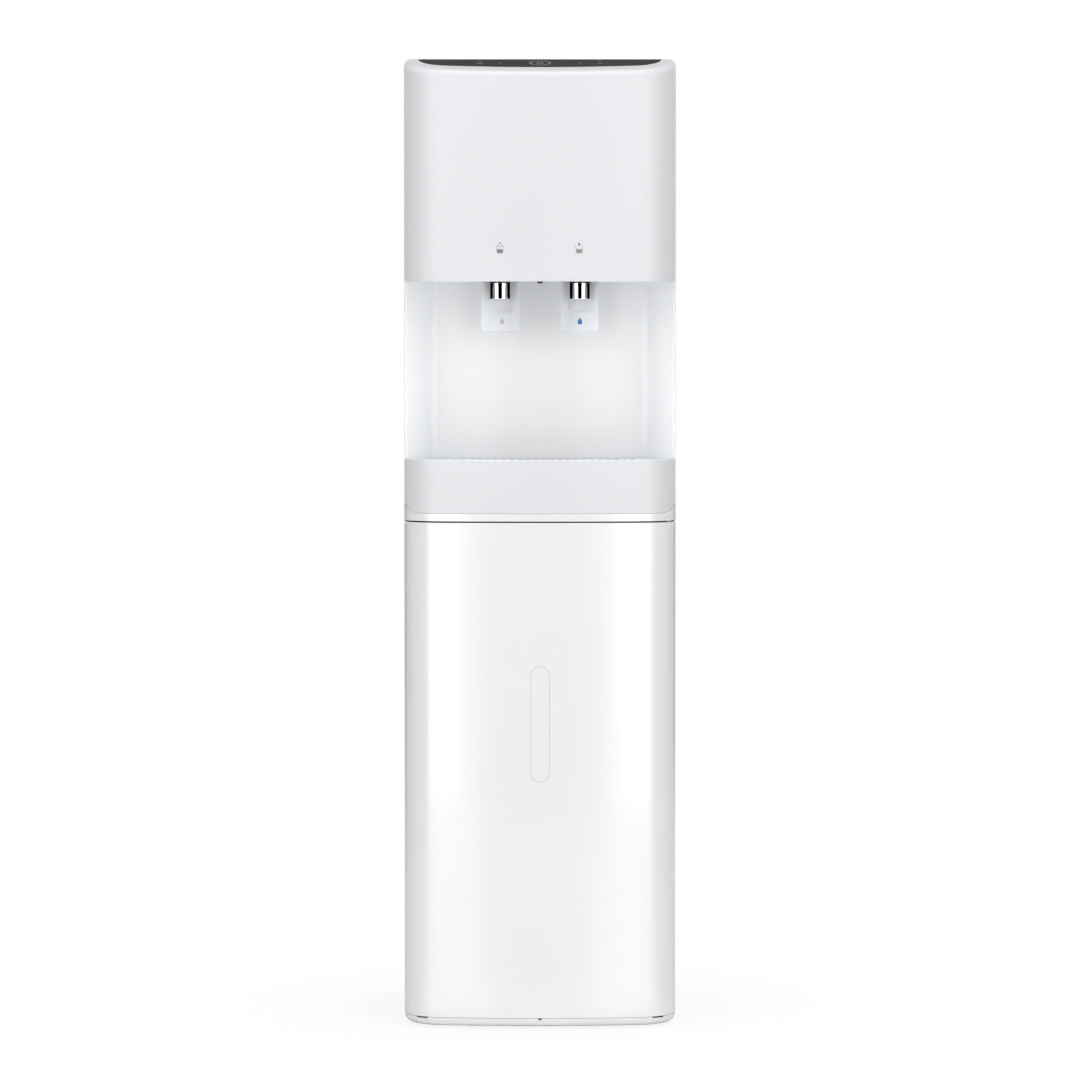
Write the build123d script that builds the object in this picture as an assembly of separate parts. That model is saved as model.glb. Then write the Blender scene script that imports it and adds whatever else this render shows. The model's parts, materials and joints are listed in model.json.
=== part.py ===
from build123d import *
import os
from math import cos, pi, radians, sin, sqrt, tan

# Bottom load water cooler. Millimetres, +Z up, front towards -Y, +X to the right when facing it.
# The origin is on the floor under the middle of the machine's bounding box.

# ---------------------------------------------------------------- driving dimensions
# case
WIDTH = 300.0
DEPTH = 370.0
CONDENSER_ROOM = 22.0     # between the rear panel and the machine's rear extreme
FRONT_DEPTH = 73.0        # moulded front parts; the steel sides begin behind them
BOW_R = 700.0             # plan radius of the front's bow
CORNER_R = 50.0           # plan radius that turns the bow into the sides
SHELL = 2.5               # wall of the moulded covers
SHEET = 0.8               # wall of the steel panels
SEAM = 0.3                # gap between covers that meet

# heights of the front's pieces, stacked from the floor
FOOT_GAP = 3.0            # base above the floor
DOOR_Z0 = 12.7
DOOR_H = 545.2
BAND_GAP = 1.6            # dark gap over the door
BAND_H = 8.4
TRAY_H = 59.1
NICHE_H = 195.6
HOUSING_H = 245.4
TOP_COVER_H = 40.0        # deep lid over the steel sides

# base
FLOOR_TOP = 11.0          # bottle bay floor
FLOOR_T = 3.0
BASE_TOP = 28.0           # base wall at the sides and the back
BASE_WALL = 3.0
BASE_EDGE_R = 9.0
BOTTLE_R = 134.0
BOTTLE_GAP = 2.0          # between the door's inner panel and the bottle
RING_R = 105.0            # rib that centres the bottle
RING_H = 4.0
RING_T = 3.0
BASE_RIBS_X = (-60.0, 0.0, 60.0)
BASE_RIB_T = 2.4
NOTCH_W = 3.6             # drip notch in the base's front edge, under the door
NOTCH_H = 2.2
SLIT_X = (124.0, 136.0)   # slits beside it, near the corners

# door
DOOR_JOINT = 3.0          # door's rear edge in front of the steel sides
DOOR_GAP = 0.4            # under the door
DOOR_T = 36.0             # at the middle, over the inner panel
DOOR_MOUTH = 14.0         # returns reach the rear edge only this near the sides
RETURN_T = 2.5
SKIRT_H = 17.8            # outer skin below the wall that closes the door's bottom
LINER_SHEET = 2.0
LINER_RIB_H = 6.0
LINER_RIB_PITCH = 60.0
LINER_RIB_ROWS = 3
INLAY_W = 20.0
INLAY_H = 127.0
INLAY_DROP = 220.9        # inlay's middle below the door's top
INLAY_T = 1.5
INLAY_GAP = 0.3
HINGE_INSET_X = 9.0       # pin axis from the door's side
HINGE_INSET_Y = 8.0       # and from its rear edge
FLANGE_BACK = 3.0         # bay flanges behind the side panels' front edges, clear of the door
HINGE_PIN_R = 3.0
HINGE_CLEAR = 0.05
HINGE_BOSS_R = 5.5
HINGE_DEPTH = 20.0        # pin inside the door
MAGNET = (10.0, 13.0, 40.0)
MAGNET_GAP = 0.3
STRIKE_OVER = 6.0         # strike plate above and below the magnet

# deck, drip tray and niche
DECK_T = 2.5
DECK_RIBS_X = (-75.0, 0.0, 75.0)
DECK_RIB_T = 3.0
TRAY_CORNER_R = 20.0      # bottom corners of the fascia seen from the front
TRAY_CORNER_OUT = 2.0     # how far those arcs would run past the sides
TRAY_RIM = 7.0
TRAY_WALL = 2.5
TRAY_LEDGE_DROP = 4.5     # grille's ledge below the tray's rim
TRAY_SIDE_GAP = 1.5
TRAY_BACK_GAP = 1.0
TRAY_BACK_RIM = 3.5       # rim beside the grille where the basin lies in the niche
TRAY_BACK_STEP = 1.0      # ledge there
GRILLE_T = 3.0
GRILLE_GAP = 0.4
SLOT_W = 4.0
SLOT_PITCH = 9.0
SLOT_MARGIN = 11.0        # between the grille's front edge and its slots
SLOT_ROW = (48.0, 44.0)   # lengths of the front and the rear row
SLOT_BAR = 12.0           # between the rows
NICHE_POST = 3.0          # width of the posts at the niche's mouth
NICHE_POST_T = 12.0
NICHE_DEPTH = 67.0        # behind the posts' front faces
NICHE_TAPER = 26.0        # each side wall leans in by this
NICHE_CREASE_R = 10.0
LINER_T = 2.5

# housing and control panel
RIDGE_FRONT = 8.0         # panel's ridge in front of the joint
SLOPE = 14.5              # degrees, control panel against the horizontal
TOP_EDGE_R = 9.0
FRONT_EDGE_R = 8.0
GLASS_INSET = 16.0        # glass from the case's sides
GLASS_SET_BACK = 6.4      # its front edge as much further from the front than from the sides
GLASS_T = 3.0
GLASS_GAP = 0.2
GLASS_LIP = 1.5           # cover left between the glass and the ridge
BOARD_T = 1.6
BOARD_MARGIN = 8.0        # touch board set in from the glass's edges
LID_RIBS_X = (-80.0, 0.0, 80.0)
LID_RIB_T = 2.0
LID_RIB_H = 8.0

# dispensing
TAP_X = 44.0              # taps each side of the middle
TAP_INSET = 60.0          # behind the foremost line
SLEEVE_R = 11.0
SLEEVE_BORE = 8.0
SLEEVE_DROP = 19.6        # below the niche's top
SLEEVE_SEAT = 5.0         # collar on the deck that the sleeve's flange sits on
SLEEVE_FLANGE = 2.0
TIP_R = 7.9
TIP_BORE = 4.0
TIP_RECESS = 2.5          # spout's end above the sleeve's
VALVE_GAP = 3.9           # valve above the sleeve's flange
VALVE_BODY_H = 24.0
VALVE_COIL_H = 32.0
VALVE_HALF = 12.0
VALVE_FRONT = 11.0        # body in front of the tap's axis
VALVE_BACK = 13.0
COIL_FRAME_T = 2.0
COIL_R = 10.5
PADDLE_W = 41.5
PADDLE_T = 3.0
PADDLE_BACK = 20.0        # front face of the paddle behind the tap's axis
PADDLE_DROP = 55.6        # its lower edge below the niche's top
PIVOT_BACK = 3.0          # pin's axis behind the paddle's front face
PIVOT_RISE = 10.4         # and above the niche's top
PIVOT_R = 2.0
PIVOT_CLEAR = 0.05
PADDLE_EAR_W = 5.0
PADDLE_EAR_R = 4.2
PADDLE_FLANGE = 7.0
PADDLE_SLOT_GAP = 1.5     # beside the paddle in the deck's slot
RECESS_W = 26.0           # shallow recess behind the tap
RECESS_RISE = 23.0        # its lower edge above the paddle's
RECESS_DEPTH = 0.8
DECK_EAR_T = 4.0
DECK_EAR_R = 5.0
SWITCH_BODY = (20.0, 7.0, 16.0)   # paddle microswitch
LEVER_GAP = 1.3           # switch lever behind the paddle
LEVER_REACH = 6.5
LENS_R = 3.2
LENS_INSET = 35.0
LENS_DROP = 2.5

# machinery
SHELF_RISE = 180.1        # over the deck
SHELF_T = 1.5
SHELF_FOLD = 12.0
COMPRESSOR_INSET = (90.0, 92.0)   # axis from the right side and from the rear panel
COMPRESSOR_R = 58.0
COMPRESSOR_H = 118.0
COMPRESSOR_DOME_R = 34.0
FOOTPLATE = (128.0, 112.0, 3.0)
GROMMET_PITCH = (108.0, 92.0)
GROMMET_H = 10.0
GROMMET_R = 8.0
TERMINALS = (12.0, 40.0, 34.0)    # terminal box in the compressor's flank, from this height up
TERMINALS_RISE = 24.0
TANK_WALL = 1.0
TANK_SKIRT_H = 20.0       # under the hot tank
TANK_SKIRT_T = 1.5
HOT_INSET = (70.0, 50.0)  # axis from the left side and behind the niche
HOT_R = 48.0
HOT_ROOM = 8.0            # between the hot tank and the shelf
FOAM_SIDE = 3.0           # foam from the right side panel
FOAM_BACK = 7.0           # and from the rear panel
FOAM_PUMP = 10.0          # and from the pump
FOAM_WALL = 17.0
FOAM_BASE = 15.0
TANK_HEADROOM = 123.5     # over the foam's lid
COIL_GAP = 1.5            # between the evaporator and the foam
COIL_TUBE_R = 4.0
COIL_TURNS = 5
COIL_END = 17.5           # tank left bare above and below the evaporator
PROBE_INSET = (45.0, 33.0)        # axis from the left side and from the rear panel
PROBE_R = 6.0
PROBE_CAP_R = 30.0
PROBE_CAP_H = 34.0
PROBE_CAP_ROOM = 13.5     # over the cap, under the deck
PROBE_FLOOR_GAP = 97.0    # under the dip tube
PROBE_CAP_TOP_T = 8.0
PROBE_CAP_WALL = 3.0
STRAINER_R = 9.0
STRAINER_H = 14.0
HANGER_HALF = 32.0
HANGER_FORK = 22.0        # half width of the fork's two prongs together
HANGER_T = 3.0
HANGER_DROP = 40.0
HANGER_SLOT = 10.0        # half width of the slot that the dip tube drops through
PUMP_FOOT = (56.0, 52.0, 3.0)
PUMP_HEAD_R = 25.0
PUMP_HEAD_H = 34.0
PUMP_MOTOR_R = 18.0
PUMP_H = 88.0
PUMP_PORT_H = 20.0
PUMP_PORT_L = 36.0
HOSE_R = 5.0
HOSE_BEND = 14.0
HOSE_REACH = 75.0         # delivery hose in front of the pump
HOSE_RISE = 30.0          # and above the foam's lid
HOSE_IN_X = 47.0          # where it enters the lid, left of the tank's axis
PIPE_R = 4.0
BOARD_INSET = (23.0, 18.0)        # from the rear panel and from the lid
BOARD_SIZE = (120.0, 140.0)
CARRIER_H = 8.0
CARRIER_T = 2.0
RELAYS = ((15.0, 20.0, 20.0), (42.0, 20.0, 20.0), (75.0, 35.0, 30.0))  # place, length, height
RELAY_RISE = 20.0
RELAY_W = 30.0
CAPACITOR_R = 9.0
CAPACITOR_INSET = (30.0, 50.0)
DRIER_R = 9.5
DRIER_X = -20.0
DRIER_RISE = 32.1         # over the deck
DRIER_H = 90.0
DRIER_STUB = 21.0
DRIER_STUB_R = 3.0

# back
REAR_FLANGE = 12.0        # folded edges of the side panels
BAY_FLANGE = 11.0
REAR_INSET = 3.0          # rear panel's side edges from the case's sides
REAR_Z0 = 20.0
VENT_ROWS = 8
VENT_PITCH = 18.0
VENT_Z0 = 110.0
VENTS_X = (-70.0, 0.0, 70.0)
VENT_W = 56.0
VENT_H = 5.0
VENT_HOOD = 2.5
CONDENSER_DROP = 112.0    # top run below the lid
CONDENSER_RUNS = 14       # even, so that both ends lie on one side
CONDENSER_PITCH = 32.0
CONDENSER_INSET = 38.0    # bend centres from the case's sides
CONDENSER_TUBE_R = 2.5
CONDENSER_TURN = 6.0      # radius of the bends that lead in through the rear panel
CONDENSER_STUB = 6.0      # tube ends inside the rear panel
WIRE_R = 0.8
WIRE_PITCH = 8.0
WIRE_OVERHANG = 12.0
BRACKET_W = 14.0
BRACKET_T = 1.6
BRACKET_H = 28.0
SWITCH_INSET = (58.0, 50.0)       # right rocker's middle from the side and from the lid
SWITCH_PITCH = 32.0
SWITCH_PLATE_T = 2.0
ROCKER_W = 14.0
ROCKER_H = 22.0
ROCKER_TILT = 8.0
ROCKER_GAP = 0.4          # each side of a rocker
ROCKER_SWING = 1.2        # above and below it, for its corners to swing in
ROCKER_SINK = 4.0         # rocker's axle below the rear panel's face
ROCKER_AXLE_R = 1.5
ROCKER_CREST = 1.6        # rocker's ends proud of the plate
BEZEL_WALL = 1.0
BEZEL_RIM = 7.0
BEZEL_DEPTH = 14.0
DRAIN_X = -40.0
DRAIN_PIPE_BACK = 22.2    # drain pipe's fall in front of the rear panel
DRAIN_DROP = 45.0         # below the condenser
SPIGOT_R = 9.0
SPIGOT_BORE = 5.0
SPIGOT_L = 16.0
SPIGOT_FLANGE = 2.0
CAP_T = 2.2
CAP_GAP = 0.3
CAP_FLUTES = 12
GLAND_INSET = 50.0
GLAND_Z = 80.0
GLAND_R = 9.0
GLAND_BORE = 4.0
GLAND_L = 14.0
SCREW_R = 3.8
SCREW_HEAD = 2.0
SCREW_ROWS = 5            # on each side
SCREW_Z0 = 60.0
SCREW_END = 13.0          # top screws below the lid
BASE_SCREWS_X = (-50.0, 50.0)
BASE_SCREW_Z = 24.0

# feet
FOOT_R = 14.0
FOOT_T = 5.0
STUD_R = 4.0
STUD_CLEAR = 0.05
FOOT_INSET = 38.0         # from the sides and the rear panel
FOOT_FRONT = 80.0         # behind the foremost line

# ---------------------------------------------------------------- worked out from them
HALF = WIDTH / 2
FRONT_Y = -DEPTH / 2                          # foremost line of the bowed front
REAR_Y = DEPTH / 2                            # rear extreme, the outer wires
CASE_BACK_Y = REAR_Y - CONDENSER_ROOM         # outer face of the rear panel
SHEET_BACK = CASE_BACK_Y - SHEET              # inner face of the rear panel
JOINT_Y = FRONT_Y + FRONT_DEPTH
PANEL_Y = JOINT_Y + SEAM + 0.2                # front face of the side panels

DOOR_Z1 = DOOR_Z0 + DOOR_H
DECK_Z0 = DOOR_Z1 + BAND_GAP
DECK_TOP = DECK_Z0 + BAND_H
FASCIA_Z0 = DECK_TOP + SEAM
TRAY_TOP = DECK_TOP + TRAY_H
TRAY_LEDGE = TRAY_TOP - TRAY_LEDGE_DROP
NICHE_TOP = TRAY_TOP + NICHE_H
HEIGHT = NICHE_TOP + HOUSING_H
COVER_SPLIT_Z = HEIGHT - TOP_COVER_H

DOOR_BACK_Y = JOINT_Y - DOOR_JOINT            # rear edge of the door's side returns
DOOR_LINER_Y = FRONT_Y + DOOR_T               # rear face of the inner panel
DOOR_RETURN_Z = DOOR_Z0 + SKIRT_H + RETURN_T  # top of the wall that closes the door's bottom
BOTTLE_Y = DOOR_LINER_Y + BOTTLE_GAP + BOTTLE_R
HINGE_X = HALF - HINGE_INSET_X
HINGE_Y = DOOR_BACK_Y - HINGE_INSET_Y
FLANGE_Y = PANEL_Y + FLANGE_BACK              # front face of the bay flanges
MAGNET_Z = (DOOR_Z0 + DOOR_Z1) / 2
INLAY_Z = DOOR_Z1 - INLAY_DROP

NICHE_FRONT_Y = JOINT_Y - NICHE_POST_T
NICHE_BACK_Y = NICHE_FRONT_Y + NICHE_DEPTH
NICHE_MOUTH = HALF - NICHE_POST               # half width of the niche at its mouth
NICHE_BACK = NICHE_MOUTH - NICHE_TAPER        # half width at its back wall
TRAY_BACK_Y = NICHE_BACK_Y - TRAY_BACK_GAP
GRILLE_SIDE = TRAY_SIDE_GAP + TRAY_BACK_RIM - TRAY_RIM  # side gap that leaves the rear rim
RIDGE_Y = JOINT_Y - RIDGE_FRONT

TAPS = {"left": -TAP_X, "right": TAP_X}
TAP_Y = FRONT_Y + TAP_INSET
SLEEVE_Z0 = NICHE_TOP - SLEEVE_DROP
SLEEVE_TOP = NICHE_TOP + SHELL + SLEEVE_SEAT  # underside of the sleeve's flange
VALVE_Z0 = SLEEVE_TOP + SLEEVE_FLANGE + VALVE_GAP
PADDLE_Y = TAP_Y + PADDLE_BACK                # front face of the paddle
PADDLE_Z0 = NICHE_TOP - PADDLE_DROP
RECESS_Z0 = PADDLE_Z0 + RECESS_RISE
PIVOT_Y = PADDLE_Y + PIVOT_BACK
PIVOT_Z = NICHE_TOP + PIVOT_RISE
LENS_Y = FRONT_Y + LENS_INSET

SHELF_Z = DECK_TOP + SHELF_RISE
SHELF_TOP = SHELF_Z + SHELF_T
COMPRESSOR_XY = (HALF - COMPRESSOR_INSET[0], SHEET_BACK - COMPRESSOR_INSET[1])
HOT_XY = (-HALF + HOT_INSET[0], NICHE_BACK_Y + LINER_T + HOT_INSET[1])
HOT_TOP = SHELF_Z - HOT_ROOM
PROBE_XY = (-HALF + PROBE_INSET[0], SHEET_BACK - PROBE_INSET[1])
PROBE_CAP_Z = DECK_Z0 - PROBE_CAP_ROOM - PROBE_CAP_H
PORT_Z = SHELF_TOP + PUMP_PORT_H              # pump's outlet
ROOM_DEPTH = SHEET_BACK - SHEET - FOAM_BACK - (NICHE_BACK_Y + LINER_T + FOAM_BACK)
ROOM_WIDTH = WIDTH - SHEET - FOAM_SIDE - PROBE_INSET[0] - PUMP_FOOT[0] / 2 - FOAM_PUMP
FOAM_R = min(ROOM_DEPTH, ROOM_WIDTH) / 2      # the foam jacket fills the room left for it
COLD_R = FOAM_R - FOAM_WALL - COIL_GAP - 2 * COIL_TUBE_R
COLD_XY = (HALF - SHEET - FOAM_SIDE - FOAM_R, SHEET_BACK - SHEET - FOAM_BACK - FOAM_R)
COLD_Z0 = SHELF_TOP + FOAM_BASE               # cold tank stands on the foam's base
FOAM_TOP = HEIGHT - TANK_HEADROOM
COLD_H = FOAM_TOP - FOAM_BASE - COLD_Z0
COIL_PITCH = (COLD_H - 2 * COIL_END) / COIL_TURNS

CONDENSER_HALF = HALF - CONDENSER_INSET       # bend centres each side of the middle
CONDENSER_RISE = (CONDENSER_RUNS - 1) * CONDENSER_PITCH
CONDENSER_Z0 = COVER_SPLIT_Z - CONDENSER_DROP - CONDENSER_RISE
WIRES = int(2 * CONDENSER_HALF / WIRE_PITCH)  # on each face of the condenser
TUBE_Y = REAR_Y - 2 * WIRE_R - CONDENSER_TUBE_R
PLATE_Y = CASE_BACK_Y + SWITCH_PLATE_T        # outer face of the switch plate
SWITCH_X = HALF - SWITCH_INSET[0] - SWITCH_PITCH
SWITCH_Z = COVER_SPLIT_Z - SWITCH_INSET[1]
DRAIN_Z = CONDENSER_Z0 - DRAIN_DROP
DRAIN_PIPE_Y = SHEET_BACK - DRAIN_PIPE_BACK
GLAND_X = HALF - GLAND_INSET
SIDES = {"left": -1, "right": 1}
FOOT_X = HALF - FOOT_INSET
FOOT_FRONT_Y = FRONT_Y + FOOT_FRONT
FOOT_BACK_Y = CASE_BACK_Y - FOOT_INSET
FEET = {
    "foot_front_left": (-FOOT_X, FOOT_FRONT_Y),
    "foot_front_right": (FOOT_X, FOOT_FRONT_Y),
    "foot_back_left": (-FOOT_X, FOOT_BACK_Y),
    "foot_back_right": (FOOT_X, FOOT_BACK_Y),
}


# ---------------------------------------------------------------- shapes used throughout
def block(x, y, z):
    """Block between (low, high) pairs on the three axes."""
    size = [abs(high - low) for low, high in (x, y, z)]
    centre = [(low + high) / 2 for low, high in (x, y, z)]
    return Pos(*centre) * Box(*size)


def post(x, y, z0, z1, r):
    """Upright cylinder."""
    return Pos(x, y, (z0 + z1) / 2) * Cylinder(r, z1 - z0)


def rod_x(x0, x1, y, z, r):
    """Cylinder along X."""
    return Pos((x0 + x1) / 2, y, z) * Rot(0, 90, 0) * Cylinder(r, x1 - x0)


def rod_y(x, y0, y1, z, r):
    """Cylinder along Y."""
    return Pos(x, (y0 + y1) / 2, z) * Rot(90, 0, 0) * Cylinder(r, y1 - y0)


def prism(points, z0, z1):
    """Upright prism on a polygon in plan."""
    face = make_face(Polyline(*points, close=True))
    return Pos(0, 0, z0) * extrude(face, amount=z1 - z0, dir=(0, 0, 1))


def bowed(inset, back, z0, z1):
    """Upright solid on the bowed front plan, set in all round and cut off at y = back."""
    half = HALF - inset
    hub_y = FRONT_Y + BOW_R
    corner_x = HALF - CORNER_R
    corner_y = hub_y - sqrt((BOW_R - CORNER_R) ** 2 - corner_x ** 2)
    outward = Vector(corner_x, corner_y - hub_y).normalized()
    meet = Vector(0, hub_y) + outward * (BOW_R - inset)
    bisector = (outward + Vector(1, 0)).normalized()
    turn = Vector(corner_x, corner_y) + bisector * (CORNER_R - inset)
    edges = [
        ThreePointArc((-meet.X, meet.Y), (0, FRONT_Y + inset), (meet.X, meet.Y)),
        ThreePointArc((meet.X, meet.Y), (turn.X, turn.Y), (half, corner_y)),
        Line((half, corner_y), (half, back)),
        Line((half, back), (-half, back)),
        Line((-half, back), (-half, corner_y)),
        ThreePointArc((-half, corner_y), (-turn.X, turn.Y), (-meet.X, meet.Y)),
    ]
    return Pos(0, 0, z0) * extrude(Face(Wire(edges)), amount=z1 - z0, dir=(0, 0, 1))


def front_outline(grow, z0, z1, corner_r, back):
    """Outline seen from the front, with round bottom corners, run back to y = back."""
    body = block((-HALF - grow, HALF + grow), (FRONT_Y - 1, back), (z0, z1))
    return fillet(body.edges().filter_by(Axis.Y).group_by(Axis.Z)[0], corner_r)


def niche_prism(grow, front, back, z0, z1, corner_r):
    """Upright solid on the niche's slanted plan, moved outwards by grow, rear creases rounded."""
    slant = (NICHE_MOUTH - NICHE_BACK) / (NICHE_BACK_Y - NICHE_FRONT_Y)
    at_front = NICHE_MOUTH + grow - slant * (front - NICHE_FRONT_Y)
    at_back = NICHE_MOUTH + grow - slant * (back - NICHE_FRONT_Y)
    points = [(-at_front, front), (at_front, front), (at_back, back), (-at_back, back)]
    body = prism(points, z0, z1)
    return fillet(body.edges().filter_by(Axis.Z).group_by(Axis.Y)[-1], corner_r)


def slope_prism(drop, y0, y1, z0):
    """All that lies under the control panel's slope, drop millimetres below its face."""
    rise = tan(radians(SLOPE))
    down = drop / cos(radians(SLOPE))
    top = [(y, HEIGHT - down - (RIDGE_Y - y) * rise) for y in (y1, y0)]
    points = [(y0, z0), (y1, z0)] + top
    face = make_face(Plane.YZ * Polyline(*points, close=True))
    return Pos(-HALF - 1, 0, 0) * extrude(face, amount=WIDTH + 2, dir=(1, 0, 0))


def pipe(points, radius, bends):
    """Round tube stock along straight runs with rounded bends."""
    if len(points) == 2:
        path = Line(*points)
    else:
        path = FilletPolyline(*points, radius=bends)
    start = Plane(origin=path @ 0, z_dir=path % 0)
    return sweep(start * Circle(radius), path=path)


# ---------------------------------------------------------------- base and steel case
def base_pan():
    """Moulded base: wall all round, bay floor, ribs under it and bosses for feet and hinge."""
    outer = bowed(0, SHEET_BACK, FOOT_GAP, BASE_TOP)
    outer = fillet(outer.faces().sort_by(Axis.Z)[0].edges(), BASE_EDGE_R)
    inside = bowed(BASE_WALL, SHEET_BACK - BASE_WALL, FLOOR_TOP, BASE_TOP + 1)
    under = bowed(BASE_EDGE_R, SHEET_BACK - BASE_EDGE_R, 0, FLOOR_TOP - FLOOR_T)
    door_room = block((-HALF - 1, HALF + 1), (FRONT_Y - 1, JOINT_Y), (DOOR_Z0 - DOOR_GAP, DOOR_Z1))
    pan = outer - inside - under - door_room
    for x in BASE_RIBS_X:
        pan += block((x - BASE_RIB_T / 2, x + BASE_RIB_T / 2),
                     (FRONT_Y + BASE_EDGE_R + 5, SHEET_BACK - 5), (FOOT_GAP + 1, FLOOR_TOP - 1))
    for x, y in FEET.values():
        pan += post(x, y, FOOT_T + 0.4, FLOOR_TOP, 2 * STUD_R)
        pan += post(x, y, FLOOR_TOP - 1, 2 * FLOOR_TOP + 1, 2 * STUD_R)
        pan -= post(x, y, 0, 2 * FLOOR_TOP, STUD_R + STUD_CLEAR)
    ring = post(0, BOTTLE_Y, FLOOR_TOP - 1, FLOOR_TOP + RING_H, RING_R)
    pan += ring - post(0, BOTTLE_Y, 0, FLOOR_TOP + RING_H + 1, RING_R - RING_T)
    pan += post(HINGE_X, HINGE_Y, FLOOR_TOP - 2, BASE_TOP, HINGE_BOSS_R)
    pan -= post(HINGE_X, HINGE_Y, FLOOR_TOP + 1, BASE_TOP + 1, HINGE_PIN_R)
    for x in (SLIT_X, (-SLIT_X[1], -SLIT_X[0])):
        slit = block(x, (FRONT_Y - 1, JOINT_Y), (FLOOR_TOP, BASE_TOP))
        pan -= slit - bowed(BASE_WALL, JOINT_Y, FOOT_GAP, BASE_TOP + 1)
    return pan - block((-NOTCH_W / 2, NOTCH_W / 2), (FRONT_Y - 1, FRONT_Y + BASE_WALL + 1),
                       (DOOR_Z0 - NOTCH_H, BASE_TOP))


def side_panel(side):
    """Folded steel side with flanges at the front and the back."""
    skin = block((HALF - SHEET, HALF), (PANEL_Y, SHEET_BACK), (BASE_TOP, COVER_SPLIT_Z))
    rear = block((HALF - REAR_FLANGE, HALF - SHEET / 2), (SHEET_BACK - SHEET, SHEET_BACK),
                 (BASE_TOP, COVER_SPLIT_Z - 2))
    bay = block((HALF - BAY_FLANGE, HALF - SHEET / 2), (FLANGE_Y, FLANGE_Y + SHEET),
                (BASE_TOP, DECK_Z0 - 1))
    upper = block((NICHE_MOUTH + 0.5, HALF - SHEET / 2), (PANEL_Y, PANEL_Y + SHEET),
                  (DECK_TOP + 1, COVER_SPLIT_Z))
    panel = skin + rear + bay + upper
    panel = fillet(panel.edges().filter_by(Axis.Z).group_by(Axis.X)[-1]
                   .sort_by(Axis.Y)[-1], SHEET / 2)
    return panel if side > 0 else mirror(panel, Plane.YZ)


def rear_panel():
    """Rear sheet with louvred vents and holes for what passes through it."""
    half = HALF - REAR_INSET
    through = (SHEET_BACK - 1, CASE_BACK_Y + 1)
    panel = block((-half, half), (SHEET_BACK, CASE_BACK_Y), (REAR_Z0, COVER_SPLIT_Z - SEAM))
    for row in range(VENT_ROWS):
        for x in VENTS_X:
            z = VENT_Z0 + row * VENT_PITCH
            panel -= block((x - VENT_W / 2, x + VENT_W / 2), through, (z, z + VENT_H))
            wide = (x - VENT_W / 2 - 1, x + VENT_W / 2 + 1)
            hood = rod_x(*wide, CASE_BACK_Y, z + VENT_H, VENT_HOOD)
            panel += hood & block(wide, (CASE_BACK_Y - SHEET / 4, CASE_BACK_Y + VENT_HOOD + 1),
                                  (z + VENT_H, z + VENT_H + VENT_HOOD + 1))
    panel -= rod_y(DRAIN_X, *through, DRAIN_Z, SPIGOT_R - 1)
    panel -= rod_y(GLAND_X, *through, GLAND_Z, GLAND_R - 2)
    for z in (CONDENSER_Z0, CONDENSER_Z0 + CONDENSER_RISE):
        panel -= rod_y(CONDENSER_HALF + CONDENSER_TURN, *through, z, CONDENSER_TUBE_R + 0.5)
    for x in (SWITCH_X, SWITCH_X + SWITCH_PITCH):
        wide, tall = switch_opening(x, BEZEL_WALL + 0.1)
        panel -= block(wide, through, tall)
    return panel


def rear_screws():
    """Pan-head screws that hold the rear panel to the side flanges and the base."""
    side_x = HALF - (REAR_FLANGE + REAR_INSET) / 2
    pitch = (COVER_SPLIT_Z - SCREW_END - SCREW_Z0) / (SCREW_ROWS - 1)
    spots = [(sign * side_x, SCREW_Z0 + row * pitch)
             for sign in SIDES.values() for row in range(SCREW_ROWS)]
    spots += [(x, BASE_SCREW_Z) for x in BASE_SCREWS_X]
    group = []
    for x, z in spots:
        head = rod_y(x, CASE_BACK_Y, CASE_BACK_Y + SCREW_HEAD, z, SCREW_R)
        group.append(fillet(head.edges().group_by(Axis.Y)[-1], SCREW_HEAD / 2))
    return Compound(children=group)


def top_cover():
    """Flat lid behind the control panel, with rounded edges and deep sides."""
    outer = block((-HALF, HALF), (RIDGE_Y, CASE_BACK_Y), (COVER_SPLIT_Z, HEIGHT))
    top_edges = outer.faces().sort_by(Axis.Z)[-1].edges()
    rounded = [e for e in top_edges if e.center().Y > RIDGE_Y + 1]
    outer = fillet(rounded, TOP_EDGE_R)
    inside = block((-HALF + SHELL, HALF - SHELL), (RIDGE_Y - 1, CASE_BACK_Y - SHELL),
                   (COVER_SPLIT_Z - 1, HEIGHT - SHELL))
    inside = fillet([e for e in inside.faces().sort_by(Axis.Z)[-1].edges()
                     if e.center().Y > RIDGE_Y + 1], TOP_EDGE_R - SHELL)
    lid = outer - inside
    for x in LID_RIBS_X:
        lid += block((x - LID_RIB_T / 2, x + LID_RIB_T / 2), (RIDGE_Y + 10, CASE_BACK_Y - 10),
                     (HEIGHT - LID_RIB_H, HEIGHT - 1))
    return lid


# ---------------------------------------------------------------- housing and control panel
def upper_front_cover():
    """Bowed housing with the sloped control panel and a seat for its glass."""
    outer = bowed(0, JOINT_Y, NICHE_TOP, HEIGHT + 1)
    outer &= slope_prism(0, FRONT_Y - 2, JOINT_Y + 1, NICHE_TOP - 1)
    lean = cos(radians(SLOPE))
    slope = [f for f in outer.faces() if 0.5 < f.normal_at().Z < lean + 0.01][0]
    outer = fillet([e for e in slope.edges() if e.center().Y < RIDGE_Y], FRONT_EDGE_R)
    outer -= block((-HALF - 1, HALF + 1), (RIDGE_Y - SEAM, JOINT_Y + 1),
                   (COVER_SPLIT_Z - SEAM, HEIGHT + 20))
    inside = bowed(SHELL, JOINT_Y + 1, NICHE_TOP - 1, HEIGHT)
    inside &= slope_prism(2 * GLASS_T, FRONT_Y - 2, JOINT_Y + 1, NICHE_TOP - 2)
    return outer - inside - glass_space(GLASS_INSET - GLASS_GAP)


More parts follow.
